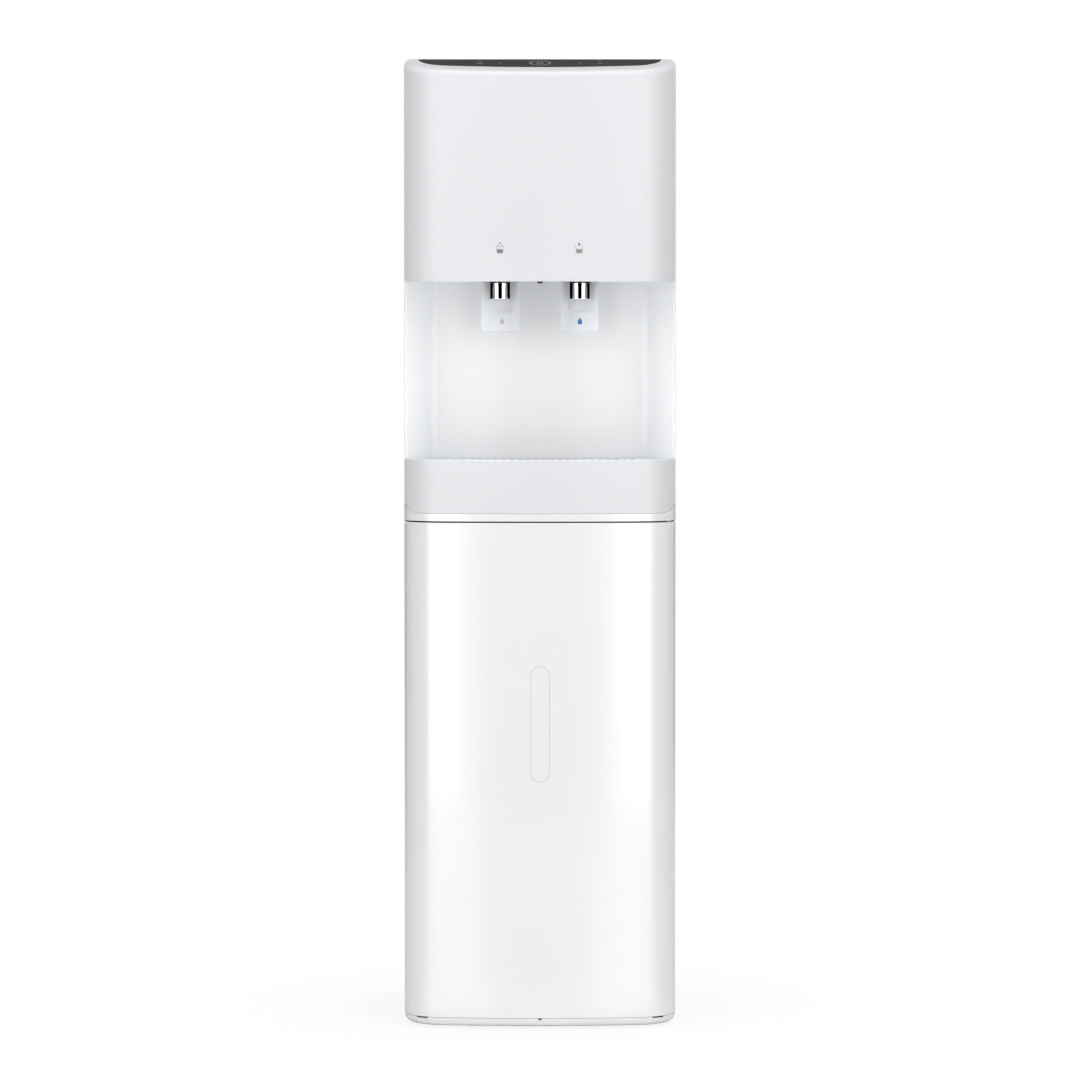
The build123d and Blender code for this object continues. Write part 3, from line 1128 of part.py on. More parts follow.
def switch_opening(x, grow):
    """Width and height of a rocker's opening, moved outwards by grow."""
    wide = ROCKER_W / 2 + ROCKER_GAP + grow
    tall = ROCKER_H / 2 + ROCKER_SWING + grow
    return (x - wide, x + wide), (SWITCH_Z - tall, SWITCH_Z + tall)


def switch_plate():
    """Bezel with two openings for the rocker switches."""
    x_mid = SWITCH_X + SWITCH_PITCH / 2
    half = SWITCH_PITCH / 2 + ROCKER_W / 2 + BEZEL_RIM
    high = ROCKER_H / 2 + ROCKER_SWING + BEZEL_RIM
    plate = block((x_mid - half, x_mid + half), (CASE_BACK_Y, PLATE_Y),
                  (SWITCH_Z - high, SWITCH_Z + high))
    plate = fillet(plate.edges().filter_by(Axis.Y), 3)
    for x in (SWITCH_X, SWITCH_X + SWITCH_PITCH):
        wide, tall = switch_opening(x, BEZEL_WALL)
        walls = block(wide, (SHEET_BACK - BEZEL_DEPTH, PLATE_Y - 0.5), tall)
        wide, tall = switch_opening(x, 0)
        hole = block(wide, (SHEET_BACK - BEZEL_DEPTH + 2, PLATE_Y + 1), tall)
        plate = plate + walls - hole
        plate += rod_x(x - ROCKER_W / 2 - 1, x + ROCKER_W / 2 + 1, CASE_BACK_Y - ROCKER_SINK,
                       SWITCH_Z, ROCKER_AXLE_R)
    return plate


def rocker(x):
    """Rocker with a vee face, shown pressed at its upper end, on the plate's axle."""
    pivot_y = CASE_BACK_Y - ROCKER_SINK
    high = ROCKER_H / 2
    crest = PLATE_Y + ROCKER_CREST - pivot_y
    valley = PLATE_Y + 0.2 - pivot_y
    outline = [(-3, -high * 0.55), (-3, high * 0.55), (crest - 1.2, high), (crest, high * 0.92),
               (valley, 0), (crest, -high * 0.92), (crest - 1.2, -high)]
    face = make_face(Plane.YZ * Polyline(*outline, close=True))
    body = Pos(-ROCKER_W / 2, 0, 0) * extrude(face, amount=ROCKER_W, dir=(1, 0, 0))
    body -= rod_x(-ROCKER_W, ROCKER_W, 0, 0, ROCKER_AXLE_R + HINGE_CLEAR)
    return Pos(x, pivot_y, SWITCH_Z) * Rot(ROCKER_TILT, 0, 0) * body


def drain_spigot():
    """Flanged drain spigot through the rear panel."""
    flange = rod_y(DRAIN_X, CASE_BACK_Y, CASE_BACK_Y + SPIGOT_FLANGE, DRAIN_Z, SPIGOT_R + 5)
    body = rod_y(DRAIN_X, SHEET_BACK, CASE_BACK_Y + SPIGOT_L, DRAIN_Z, SPIGOT_R - 1)
    barrel = rod_y(DRAIN_X, CASE_BACK_Y, CASE_BACK_Y + SPIGOT_L, DRAIN_Z, SPIGOT_R)
    bore = rod_y(DRAIN_X, SHEET_BACK + 1, CASE_BACK_Y + SPIGOT_L + 1, DRAIN_Z, SPIGOT_BORE)
    return flange + body + barrel - bore


def drain_cap():
    """Screw cap over the spigot, with grip flutes."""
    r = SPIGOT_R + CAP_GAP + CAP_T
    y0 = CASE_BACK_Y + SPIGOT_FLANGE + CAP_GAP
    y1 = CASE_BACK_Y + SPIGOT_L + CAP_GAP + CAP_T
    cap = rod_y(DRAIN_X, y0, y1, DRAIN_Z, r)
    cap = fillet(cap.edges().group_by(Axis.Y)[-1], 1.2)
    flutes = [Pos(DRAIN_X, 0, DRAIN_Z) * Rot(0, i * 360 / CAP_FLUTES, 0)
              * rod_y(r + 1, y0 - 1, y1 + 1, 0, 1.8) for i in range(CAP_FLUTES)]
    cap -= Compound(children=flutes)
    return cap - rod_y(DRAIN_X, y0 - 1, y1 - CAP_T, DRAIN_Z, SPIGOT_R + CAP_GAP)


def cord_gland():
    """Gland at the lower back where the supply lead enters."""
    nut = rod_y(GLAND_X, CASE_BACK_Y, CASE_BACK_Y + 4, GLAND_Z, GLAND_R + 2)
    barrel = rod_y(GLAND_X, CASE_BACK_Y, CASE_BACK_Y + GLAND_L - SHEET - 3, GLAND_Z, GLAND_R)
    barrel = fillet(barrel.edges().group_by(Axis.Y)[-1], 1.5)
    neck = rod_y(GLAND_X, SHEET_BACK - 3, CASE_BACK_Y + 1, GLAND_Z, GLAND_R - 2)
    return nut + barrel + neck - rod_y(GLAND_X, SHEET_BACK - 4, CASE_BACK_Y + GLAND_L, GLAND_Z,
                                       GLAND_BORE)


def foot(x, y):
    """Levelling foot: pad with a stud that screws into the base."""
    pad = post(x, y, 0, FOOT_T, FOOT_R)
    pad = fillet(pad.edges().group_by(Axis.Z)[0], 1.0)
    return pad + post(x, y, FOOT_T - 1, 2 * FLOOR_TOP - 2, STUD_R)


def build():
    """Every node of the machine by name."""
    nodes = {
        "base_pan": base_pan(),
        "rear_panel": rear_panel(),
        "rear_screws": rear_screws(),
        "top_cover": top_cover(),
        "upper_front_cover": upper_front_cover(),
        "control_glass": control_glass(),
        "touch_board": touch_board(),
        "niche_liner": niche_liner(),
        "dispense_deck": dispense_deck(),
        "sensor_lens": sensor_lens(),
        "paddle_pins": paddle_pins(),
        "paddle_switches": paddle_switches(),
        "mid_frame": mid_frame(),
        "drip_tray": drip_tray(),
        "drip_grille": drip_grille(),
        "door_outer_panel": door_outer_panel(),
        "door_inner_panel": door_inner_panel(),
        "door_inlay": door_inlay(),
        "door_magnet": door_magnet(),
        "strike_plate": strike_plate(),
        "hinge_pins": hinge_pins(),
        "hinge_washer": hinge_washer(),
        "compressor": compressor(),
        "compressor_grommets": compressor_grommets(),
        "hot_tank": hot_tank(),
        "tank_shelf": tank_shelf(),
        "cold_tank": cold_tank(),
        "evaporator_coil": evaporator_coil(),
        "cold_tank_insulation": cold_tank_insulation(),
        "pump": pump(),
        "pump_hoses": pump_hoses(),
        "dispense_pipes": dispense_pipes(),
        "drain_pipe": drain_pipe(),
        "main_board": main_board(),
        "filter_drier": filter_drier(),
        "probe": probe(),
        "probe_hanger": probe_hanger(),
        "condenser_tube": condenser_tube(),
        "condenser_wires": condenser_wires(),
        "condenser_brackets": condenser_brackets(),
        "switch_plate": switch_plate(),
        "hot_switch": rocker(SWITCH_X),
        "cold_switch": rocker(SWITCH_X + SWITCH_PITCH),
        "drain_spigot": drain_spigot(),
        "drain_cap": drain_cap(),
        "cord_gland": cord_gland(),
    }
    for side, sign in SIDES.items():
        nodes[side + "_side_panel"] = side_panel(sign)
    for side, x in TAPS.items():
        nodes[side + "_nozzle_sleeve"] = nozzle_sleeve(x)
        nodes[side + "_nozzle_tip"] = nozzle_tip(x)
        nodes[side + "_dispense_valve"] = dispense_valve(x)
        nodes[side + "_paddle"] = paddle(x)
    for name, spot in FEET.items():
        nodes[name] = foot(*spot)
    return nodes


if __name__ == "__main__":
    os.makedirs("parts", exist_ok=True)
    for name, shape in build().items():
        export_step(shape, f"parts/{name}.step")
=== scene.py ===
# %% [markdown]
# # A bottom load water cooler, dressed
# The cooler's solids come in ready made, each at its place. This lesson gives every one of them a
# finish, replaces the few that need a finer shape, adds the printed marks, and lights the whole
# for a picture. Loading comes first, because each later piece is measured from what is loaded.

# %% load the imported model
import json
from math import asin, atan2, cos, degrees, pi, radians, sin, sqrt

import bmesh
import bpy
from mathutils import Matrix, Vector


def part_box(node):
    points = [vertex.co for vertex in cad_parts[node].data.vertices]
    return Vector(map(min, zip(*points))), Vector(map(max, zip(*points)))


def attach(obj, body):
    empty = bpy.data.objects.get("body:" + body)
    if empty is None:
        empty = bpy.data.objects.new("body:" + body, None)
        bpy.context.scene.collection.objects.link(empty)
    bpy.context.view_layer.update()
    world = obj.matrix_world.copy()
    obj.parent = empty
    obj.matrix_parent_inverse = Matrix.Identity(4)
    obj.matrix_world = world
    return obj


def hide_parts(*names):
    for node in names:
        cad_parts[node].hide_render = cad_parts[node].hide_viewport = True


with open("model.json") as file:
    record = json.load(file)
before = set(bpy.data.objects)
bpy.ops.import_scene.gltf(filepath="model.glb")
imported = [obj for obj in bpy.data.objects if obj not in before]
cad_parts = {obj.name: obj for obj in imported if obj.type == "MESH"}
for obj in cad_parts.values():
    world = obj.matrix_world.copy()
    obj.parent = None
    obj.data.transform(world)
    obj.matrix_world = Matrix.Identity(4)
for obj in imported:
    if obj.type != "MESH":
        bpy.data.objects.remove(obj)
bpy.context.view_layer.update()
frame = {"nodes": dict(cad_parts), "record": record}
MM = 0.001

# %% [markdown]
# ## Shader arithmetic
# A material is a small network of nodes. Wired by hand, even "half the noise plus a tenth" takes
# two Math nodes and three links. The class below wraps a socket, so that the same thing is
# written as `noise * 0.5 + 0.1` and Python adds the nodes.

# %% a number that varies over a surface
class Value:
    """One socket of a material; arithmetic on it adds Math nodes."""

    def __init__(self, finish, socket):
        self.finish, self.socket = finish, socket

    def math(self, operation, first, second=0.0, clamp=False):
        made = self.finish.node("ShaderNodeMath", {"operation": operation, "use_clamp": clamp},
                                {0: first, 1: second})
        return Value(self.finish, made.outputs[0])

    def __add__(self, other):
        return self.math("ADD", self, other)

    def __radd__(self, other):
        return self.math("ADD", other, self)

    def __sub__(self, other):
        return self.math("SUBTRACT", self, other)

    def __rsub__(self, other):
        return self.math("SUBTRACT", other, self)

    def __mul__(self, other):
        return self.math("MULTIPLY", self, other)

    def __rmul__(self, other):
        return self.math("MULTIPLY", other, self)

    def __truediv__(self, other):
        return self.math("DIVIDE", self, other)

    def __pow__(self, other):
        return self.math("POWER", self, other)

    def size(self):
        """The value without its sign."""
        return self.math("ABSOLUTE", self)

    def clipped(self):
        """The value held between 0 and 1."""
        return self.math("ADD", self, clamp=True)


# %% [markdown]
# ## One class for every finish
# All finishes of the cooler are a Principled shader whose colour, roughness and bump vary a
# little over the surface, as moulded plastic, powder coat and rolled steel do. One method adds
# any node: first its settings, then its sockets. Patterns read Object coordinates, in metres, so
# a grain of half a millimetre is a noise of scale 2000 on every piece alike.

# %% a finish made of nodes
class Finish:
    """One procedural material: a Principled shader and the nodes that vary it."""

    def __init__(self, name, **constants):
        self.material = bpy.data.materials.new(name)
        self.material.use_nodes = True
        self.tree = self.material.node_tree
        self.shader = self.tree.nodes["Principled BSDF"]
        for socket, value in constants.items():
            self.feed(self.shader.inputs[socket.replace("_", " ")], value)
        self.place = self.node("ShaderNodeTexCoord").outputs["Object"]

    def node(self, kind, settings=None, sockets=None):
        """Any node: its settings first, then the values or links of its sockets."""
        made = self.tree.nodes.new(kind)
        for name, value in (settings or {}).items():
            if name == "stops":
                self.set_stops(made.color_ramp, value)
            else:
                setattr(made, name, value)
        for key, value in (sockets or {}).items():
            self.feed(made.inputs[key], value)
        return made

    def set_stops(self, ramp, stops):
        while len(ramp.elements) < len(stops):
            ramp.elements.new(1.0)
        for element, (position, level) in zip(ramp.elements, stops):
            element.position = position
            element.color = (level, level, level, 1.0)

    def feed(self, socket, value):
        """Link a value or a socket, or set a plain number or colour."""
        value = getattr(value, "socket", value)
        if isinstance(value, bpy.types.NodeSocket):
            self.tree.links.new(value, socket)
        else:
            socket.default_value = value

    def stretched(self, x=1.0, y=1.0, z=1.0):
        """Object coordinates with each axis squeezed or drawn out."""
        return self.node("ShaderNodeMapping", sockets={"Vector": self.place,
                                                       "Scale": (x, y, z)}).outputs[0]

    def noise(self, scale, detail=2.0, place=None):
        made = self.node("ShaderNodeTexNoise", sockets={
            "Vector": place or self.place, "Scale": scale, "Detail": detail})
        return Value(self, made.outputs["Fac"])

    def cells(self, scale, place=None):
        made = self.node("ShaderNodeTexVoronoi", sockets={
            "Vector": place or self.place, "Scale": scale})
        return Value(self, made.outputs["Distance"])

    def ramp(self, value, *stops):
        """Grey levels along a value, as (place, level) pairs."""
        return Value(self, self.node("ShaderNodeValToRGB", {"stops": stops},
                                     {"Fac": value}).outputs["Color"])

    def blend(self, factor, first, second):
        """Mix two colours by a varying factor."""
        made = self.node("ShaderNodeMix", {"data_type": "RGBA"}, {0: factor})
        colours = [s for s in made.inputs if s.type == "RGBA"]
        for socket, colour in zip(colours, (first, second)):
            self.feed(socket, (*colour, 1.0))
        return next(s for s in made.outputs if s.type == "RGBA")

    def wear(self, **varying):
        """Feed what varies over the surface into the shader."""
        for name, value in varying.items():
            self.feed(self.shader.inputs[name.replace("_", " ")], value)
        return self

    def bump(self, height, depth, strength=1.0):
        made = self.node("ShaderNodeBump", sockets={
            "Height": height, "Distance": depth, "Strength": strength})
        self.feed(self.shader.inputs["Normal"], made.outputs["Normal"])
        return self


# %% [markdown]
# ## White plastics
# The housing, the drip tray and the door are injection moulded. A mould leaves cloudy pigment
# that only shows as a percent or so of brightness, a very fine spark-eroded grain on the satin
# parts, and almost none on the polished door, where long soft waves of sink mark bend the
# reflections instead.

# %% moulded plastics
CLOUD, GRAIN, SINK = 9.0, 2600.0, 5.0  # noise scales: pigment clouds, mould grain, sink marks
POLISH = 0.04


def darker(colour, share):
    return tuple(channel * share for channel in colour)


def moulded(name, colour, roughness, grain=0.0, wave=0.0, coat=0.0):
    """Plastic from a mould: cloudy pigment, uneven sheen, fine grain or slow waves."""
    finish = Finish(name, Coat_Weight=coat, Coat_Roughness=POLISH, IOR=1.49)
    cloud = finish.noise(CLOUD, 3.0)
    fine = finish.noise(GRAIN, 1.0)
    finish.wear(Base_Color=finish.blend(cloud, darker(colour, 0.975), colour),
                Roughness=roughness + (cloud - 0.5) * 0.06 + (fine - 0.5) * 0.05)
    if grain:
        finish.bump(fine, grain * MM, 0.6)
    elif wave:
        finish.bump(finish.noise(SINK, 1.0), wave * MM, 1.0)
    return finish


WHITE = (0.79, 0.805, 0.825)
FINISHES = {
    "satin_white": moulded("satin_white_plastic", WHITE, 0.42, grain=0.012),
    "liner_white": moulded("niche_white_plastic", (0.86, 0.87, 0.88), 0.36, grain=0.008),
    # The paddles are the niche's white plastic; their darker white is painted shade, for the
    # shade under the housing above them.
    "paddle_white_painted_shade": moulded("paddle_plastic_painted_shade", (0.725, 0.74, 0.765), 0.36, grain=0.008),
    "gloss_white": moulded("polished_door_plastic", (0.93, 0.938, 0.943), 0.16, wave=0.25,
                           coat=0.6),
    "inner_white": moulded("plain_inner_plastic", (0.76, 0.77, 0.78), 0.5, grain=0.015),
    "grille_grey": moulded("grille_plastic", (0.72, 0.73, 0.75), 0.4, grain=0.01),
    "tip_grey": moulded("spout_plastic", (0.16, 0.165, 0.17), 0.35, grain=0.008),
    "black_plastic": moulded("black_plastic", (0.022, 0.022, 0.024), 0.45, grain=0.015),
    "probe_white": moulded("probe_plastic", (0.80, 0.80, 0.79), 0.35, grain=0.006),
    "switch_red": moulded("red_rocker_plastic", (0.50, 0.02, 0.015), 0.22, wave=0.05),
    "switch_green": moulded("green_rocker_plastic", (0.02, 0.30, 0.07), 0.22, wave=0.05),
    "magnet": moulded("magnet_plastic", (0.05, 0.05, 0.05), 0.6, grain=0.02),
}
print("plastics", len(FINISHES))

# %% [markdown]
# ## Painted, plated and bare metal
# The sides are powder coated: the powder melts into an orange peel of bumps about two millimetres
# across. The rear sheet is galvanised, which shows as flat crystals of differing grey. Turned and
# drawn metal has fine lines along one direction, so its noise is stretched along that axis.

# %% metals
CRYSTALS, BRUSH = 140.0, 1800.0  # scales: zinc crystals, drawn or turned lines


def powder_coated(name, colour, roughness, peel=1.8):
    """Baked powder, whose orange peel has bumps of so many millimetres."""
    finish = Finish(name, IOR=1.5)
    skin = finish.cells(1.0 / (peel * MM))
    cloud = finish.noise(6.0, 2.0)
    finish.wear(Base_Color=finish.blend(cloud, darker(colour, 0.97), colour),
                Roughness=roughness + (cloud - 0.5) * 0.08)
    return finish.bump(skin, 0.02 * MM, 0.5)


def galvanised(name, colour):
    """Zinc: each crystal has its own grey and its own gloss."""
    finish = Finish(name)
    crystal = finish.node("ShaderNodeTexVoronoi", sockets={
        "Vector": finish.place, "Scale": CRYSTALS})
    level = Value(finish, finish.node("ShaderNodeSeparateColor", sockets={
        "Color": crystal.outputs["Color"]}).outputs[0])
    dull = finish.noise(14.0, 4.0)
    finish.wear(Base_Color=finish.blend(level * 0.7 + dull * 0.3, darker(colour, 0.72), colour),
                Metallic=0.9 - dull * 0.15, Roughness=0.34 + level * 0.14 + dull * 0.1)
    return finish.bump(level, 0.01 * MM, 0.4)


def drawn_metal(name, colour, roughness, along=(1.0, 1.0, 0.02)):
    """Metal with fine lines, stretched along the axis whose share is small."""
    finish = Finish(name, Metallic=1.0)
    lines = finish.noise(BRUSH, 2.0, finish.stretched(*along))
    patch = finish.noise(20.0, 3.0)
    finish.wear(Base_Color=finish.blend(lines * 0.6 + patch * 0.4, darker(colour, 0.8), colour),
                Roughness=roughness + (lines - 0.5) * 0.12 + (patch - 0.5) * 0.1)
    return finish.bump(lines, 0.006 * MM, 0.5)


def chrome_plate(name):
    """Mirror plating with a faint haze."""
    finish = Finish(name, Metallic=1.0)
    haze = finish.noise(60.0, 4.0)
    finish.wear(Base_Color=finish.blend(haze, (0.83, 0.83, 0.84), (0.93, 0.93, 0.94)),
                Roughness=0.03 + haze ** 3.0 * 0.12)
    return finish.bump(finish.noise(40.0, 1.0), 0.01 * MM, 0.3)


FINISHES.update({
    "panel_paint": powder_coated("white_powder_coat", (0.78, 0.79, 0.80), 0.38),
    "black_paint": powder_coated("black_baked_paint", (0.018, 0.018, 0.019), 0.4, peel=1.2),
    "zinc_steel": galvanised("galvanised_sheet", (0.62, 0.63, 0.64)),
    "screw_steel": drawn_metal("plated_steel", (0.60, 0.60, 0.59), 0.3),
    "stainless": drawn_metal("stainless_tank", (0.66, 0.65, 0.64), 0.26, (0.02, 0.02, 1.0)),
    "copper": drawn_metal("bare_copper", (0.80, 0.42, 0.27), 0.3),
    "brass": drawn_metal("brass_body", (0.72, 0.53, 0.27), 0.32),
    "chrome": chrome_plate("chrome_plate"),
})
print("finishes so far", len(FINISHES))

# %% [markdown]
# ## Glass, rubber, foam and circuit board
# The control panel is a dark tinted pane, so its colour hardly matters and its gloss does. Rubber
# is the reverse: nearly no gloss and a dusty bloom. Foam is cells of two sizes; a circuit board
# is green lacquer over darker copper tracks.

# %% other materials
def dark_pane(name):
    """Tinted pane with finger smears in its gloss."""
    finish = Finish(name, IOR=1.4, Specular_IOR_Level=0.25)
    smear = finish.noise(22.0, 4.0)
    finish.wear(Base_Color=finish.blend(smear, (0.040, 0.036, 0.030), (0.052, 0.047, 0.039)),
                Roughness=0.10 + smear * 0.10)
    return finish.bump(finish.noise(8.0, 1.0), 0.05 * MM, 0.3)


def soft_rubber(name, colour):
    """Rubber or hose with a dusty bloom."""
    finish = Finish(name, IOR=1.45)
    bloom = finish.noise(35.0, 5.0)
    pale = tuple(c * 0.7 + 0.03 for c in colour)
    finish.wear(Base_Color=finish.blend(bloom, colour, pale), Roughness=0.72 + bloom * 0.15)
    return finish.bump(finish.noise(1500.0, 1.0), 0.03 * MM, 0.6)


def foamed(name, colour):
    """Bead foam: beads of 3 mm with pores between them."""
    finish = Finish(name)
    beads = finish.cells(330.0)
    pores = finish.noise(1400.0, 2.0)
    finish.wear(Base_Color=finish.blend(beads, colour, darker(colour, 0.8)),
                Roughness=0.85 + pores * 0.1)
    return finish.bump(beads * -1.0 + pores * 0.2, 0.25 * MM, 0.7)


def circuit_board(name):
    """Green lacquer with the tracks showing as a grid under it."""
    finish = Finish(name, IOR=1.5)
    tracks = finish.node("ShaderNodeTexBrick", {"offset": 0.5}, {
        "Vector": finish.place, "Scale": 60.0, "Mortar Size": 0.03})
    mask = Value(finish, tracks.outputs["Fac"])
    finish.wear(Base_Color=finish.blend(mask, (0.012, 0.10, 0.035), (0.03, 0.20, 0.07)),
                Roughness=0.3 + mask * 0.1)
    return finish.bump(mask, 0.03 * MM, 0.5)


def smoked_lens(name):
    """Dark clear plastic over the sensor."""
    finish = Finish(name, IOR=1.49)
    speck = finish.noise(300.0, 2.0)
    finish.wear(Base_Color=finish.blend(speck, (0.03, 0.03, 0.032), (0.06, 0.06, 0.064)),
                Roughness=0.06 + speck * 0.05)
    return finish


FINISHES.update({
    "black_glass": dark_pane("tinted_control_pane"),
    "lens_clear": smoked_lens("smoked_sensor_lens"),
    "rubber": soft_rubber("black_rubber", (0.02, 0.02, 0.02)),
    "hose_clear": soft_rubber("milky_hose", (0.68, 0.68, 0.66)),
    "foam": foamed("white_bead_foam", (0.80, 0.79, 0.75)),
    "board_green": circuit_board("green_circuit_board"),
})
print("finishes", len(FINISHES))

# %% [markdown]
# ## Dressing the solids
# The record names a material slot for each solid. Each gets its finish by assigning it to the
# object's slot; the solids themselves are never moved or reshaped.

# %% finishes onto the solids
for row in frame["record"]["subparts"]:
    solid = frame["nodes"][row["node"]]
    solid.data.materials.clear()
    solid.data.materials.append(FINISHES[row["material_slot"]].material)

# %% [markdown]
# ## Tools for modelling
# Each new piece starts as a primitive and is shaped in edit mode, as by hand. Loading leaves the
# solids selected, and an operator acts on all that is selected, so `start` clears the selection
# first. `pick` stands in for the mouse: it selects the faces, edges or points that pass a test.

# %% starting and picking
def deselect():
    """Leave edit mode and select nothing."""
    if bpy.context.object and bpy.context.mode != "OBJECT":
        bpy.ops.object.mode_set(mode="OBJECT")
    bpy.ops.object.select_all(action="DESELECT")


def start(kind, name, **how):
    """A primitive in edit mode, with its place and size already in its mesh."""
    deselect()
    size = how.pop("scale", None)
    getattr(bpy.ops.mesh, f"primitive_{kind}_add")(**how)
    piece = bpy.context.object
    piece.name = piece.data.name = name
    if size:
        piece.scale = size
    bpy.ops.object.transform_apply(location=True, rotation=True, scale=True)
    bpy.ops.object.mode_set(mode="EDIT")
    return piece


def pick(kind, test):
    """Select only the verts, edges or faces that pass the test, and count them."""
    mesh = bmesh.from_edit_mesh(bpy.context.object.data)
    bpy.ops.mesh.select_mode(type={"verts": "VERT", "edges": "EDGE", "faces": "FACE"}[kind])
    bpy.ops.mesh.select_all(action="DESELECT")
    chosen = [part for part in getattr(mesh, kind) if test(part)]
    for part in chosen:
        part.select_set(True)
    mesh.select_flush_mode()
    bmesh.update_edit_mesh(bpy.context.object.data)
    return len(chosen)


def middle(part):
    """Middle of an edge or a face."""
    return sum((point.co for point in part.verts), Vector()) / len(part.verts)


def near(value, target, within=1e-5):
    return abs(value - target) < within


# %% [markdown]
# ## Tools for cutting and finishing
# A block gets its fields by being cut with planes, which is what `slice_at` does. `settle` is the
# last step of every piece: it merges doubled points, turns the faces outwards, puts the place
# into the mesh, so that the object itself sits at the origin, and hands the piece to the body
# that it moves with. A copy gets its own mesh, so that it can be moved in the same way.

# %% slicing, finishing and copying
def slice_at(axis, place):
    """Cut edges through the whole piece where it crosses a plane, keeping both sides."""
    bpy.ops.mesh.select_all(action="SELECT")
    point, normal = [0.0, 0.0, 0.0], [0.0, 0.0, 0.0]
    point["xyz".index(axis)], normal["xyz".index(axis)] = place, 1.0
    bpy.ops.mesh.bisect(plane_co=point, plane_no=normal)


def modify(piece, kind, **settings):
    """Add a modifier, set it and apply it."""
    tool = piece.modifiers.new(kind.title(), kind)
    for name, value in settings.items():
        setattr(tool, name, value)
    bpy.context.view_layer.objects.active = piece
    bpy.ops.object.modifier_apply(modifier=tool.name)


def settle(piece, body, slot, angle=40.0, **moves):
    """Place, merge doubles, turn faces outwards, smooth, finish and give to a body."""
    deselect()
    piece.select_set(True)
    bpy.context.view_layer.objects.active = piece
    for name, value in moves.items():
        setattr(piece, name, value)
    bpy.ops.object.transform_apply(location=True, rotation=True, scale=True)
    bpy.ops.object.mode_set(mode="EDIT")
    bpy.ops.mesh.select_all(action="SELECT")
    bpy.ops.mesh.remove_doubles(threshold=1e-6)
    bpy.ops.mesh.normals_make_consistent(inside=False)
    bpy.ops.object.mode_set(mode="OBJECT")
    bpy.ops.object.shade_smooth_by_angle(angle=radians(angle))
    piece.data.materials.clear()
    piece.data.materials.append(FINISHES[slot].material)
    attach(piece, body)
    print(piece.name, len(piece.data.polygons), "faces on", body)
    return piece


def copied(piece, name):
    """A copy with its own mesh."""
    twin = piece.copy()
    twin.data = piece.data.copy()
    twin.name = twin.data.name = name
    bpy.context.collection.objects.link(twin)
    return twin


# %% [markdown]
# ## Turned pieces
# Nozzles, lens rims and grommets are round, as off a lathe. A ring of points is extruded down its
# profile: at each step the ring moves along and is scaled to the next radius. Spin would also do,
# but this way the profile reads as a list of radii and heights, as on a turner's drawing.

# %% a lathe made of extrusions
def turned(name, profile, around=64, closed=True):
    """Revolve (radius, height) pairs in millimetres about Z; the last ring joins the first."""
    radius, height = profile[0]
    piece = start("circle", name, vertices=around, radius=radius * MM,
                  location=(0, 0, height * MM))
    bpy.ops.mesh.select_all(action="SELECT")
    for wide, high in profile[1:]:
        bpy.ops.mesh.extrude_edges_move(
            TRANSFORM_OT_translate={"value": (0, 0, (high - height) * MM)})
        bpy.ops.transform.resize(value=(wide / radius, wide / radius, 1.0),
                                 center_override=(0, 0, high * MM))
        radius, height = wide, high
    if closed:
        bpy.ops.mesh.extrude_edges_move(
            TRANSFORM_OT_translate={"value": (0, 0, (profile[0][1] - height) * MM)})
        bpy.ops.transform.resize(value=(profile[0][0] / radius, profile[0][0] / radius, 1.0),
                                 center_override=(0, 0, profile[0][1] * MM))
    else:
        bpy.ops.mesh.edge_face_add()
        pick("edges", lambda edge: edge.is_boundary)
        bpy.ops.mesh.edge_face_add()
    return piece


# %% [markdown]
# ## Chrome nozzles
# Each tap ends in a chromed sleeve about the inner spout. What catches the eye is its lip:
# plating never shows a sharp edge, so the profile rolls round in several short steps. A black
# gasket ring closes the joint with the housing above.

# %% nozzles and gaskets
TAP_X, TAP_Y, NICHE_TOP = 44.0, -125.0, 822.6
low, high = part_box("left_nozzle_sleeve")
SLEEVE_LOW, SLEEVE_HIGH = low[2] / MM, high[2] / MM
print("sleeves from", round(SLEEVE_LOW, 1), "to", round(SLEEVE_HIGH, 1), "mm")
SLEEVE_PROFILE = [
    (8.0, SLEEVE_HIGH), (13.0, SLEEVE_HIGH), (13.0, SLEEVE_HIGH - 2.0), (11.0, SLEEVE_HIGH - 2.0),
    (11.0, NICHE_TOP - 0.2), (10.6, NICHE_TOP - 0.3), (10.6, NICHE_TOP - 1.7),
    (11.0, NICHE_TOP - 1.9), (11.0, SLEEVE_LOW + 1.3), (10.9, SLEEVE_LOW + 0.75),
    (10.6, SLEEVE_LOW + 0.3), (10.15, SLEEVE_LOW + 0.05), (9.6, SLEEVE_LOW),
    (8.9, SLEEVE_LOW + 0.1), (8.3, SLEEVE_LOW + 0.45), (8.0, SLEEVE_LOW + 1.1)]
GASKET_PROFILE = [(10.62, NICHE_TOP - 0.1), (11.3, NICHE_TOP - 0.1), (11.45, NICHE_TOP - 0.5),
                  (11.45, NICHE_TOP - 1.2), (11.2, NICHE_TOP - 1.6), (10.62, NICHE_TOP - 1.6)]
for sign, side in ((-1, "left"), (1, "right")):
    place = (sign * TAP_X * MM, TAP_Y * MM, 0)
    sleeve = settle(turned(f"{side}_chrome_sleeve", SLEEVE_PROFILE, 96), "cabinet", "chrome",
                    location=place)
    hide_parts(f"{side}_nozzle_sleeve")
    settle(turned(f"{side}_gasket", GASKET_PROFILE), "cabinet", "rubber", location=place)

# %% [markdown]
# ## Push paddles
# A cup pushes the paddle back to open the valve. It is a moulded plate: the front has a shallow
# recess behind the nozzle, the lower edge is rolled so that no cup catches on it, and flanges at
# the back stiffen it. One block is cut by planes into fields, and fields are extruded in or out.

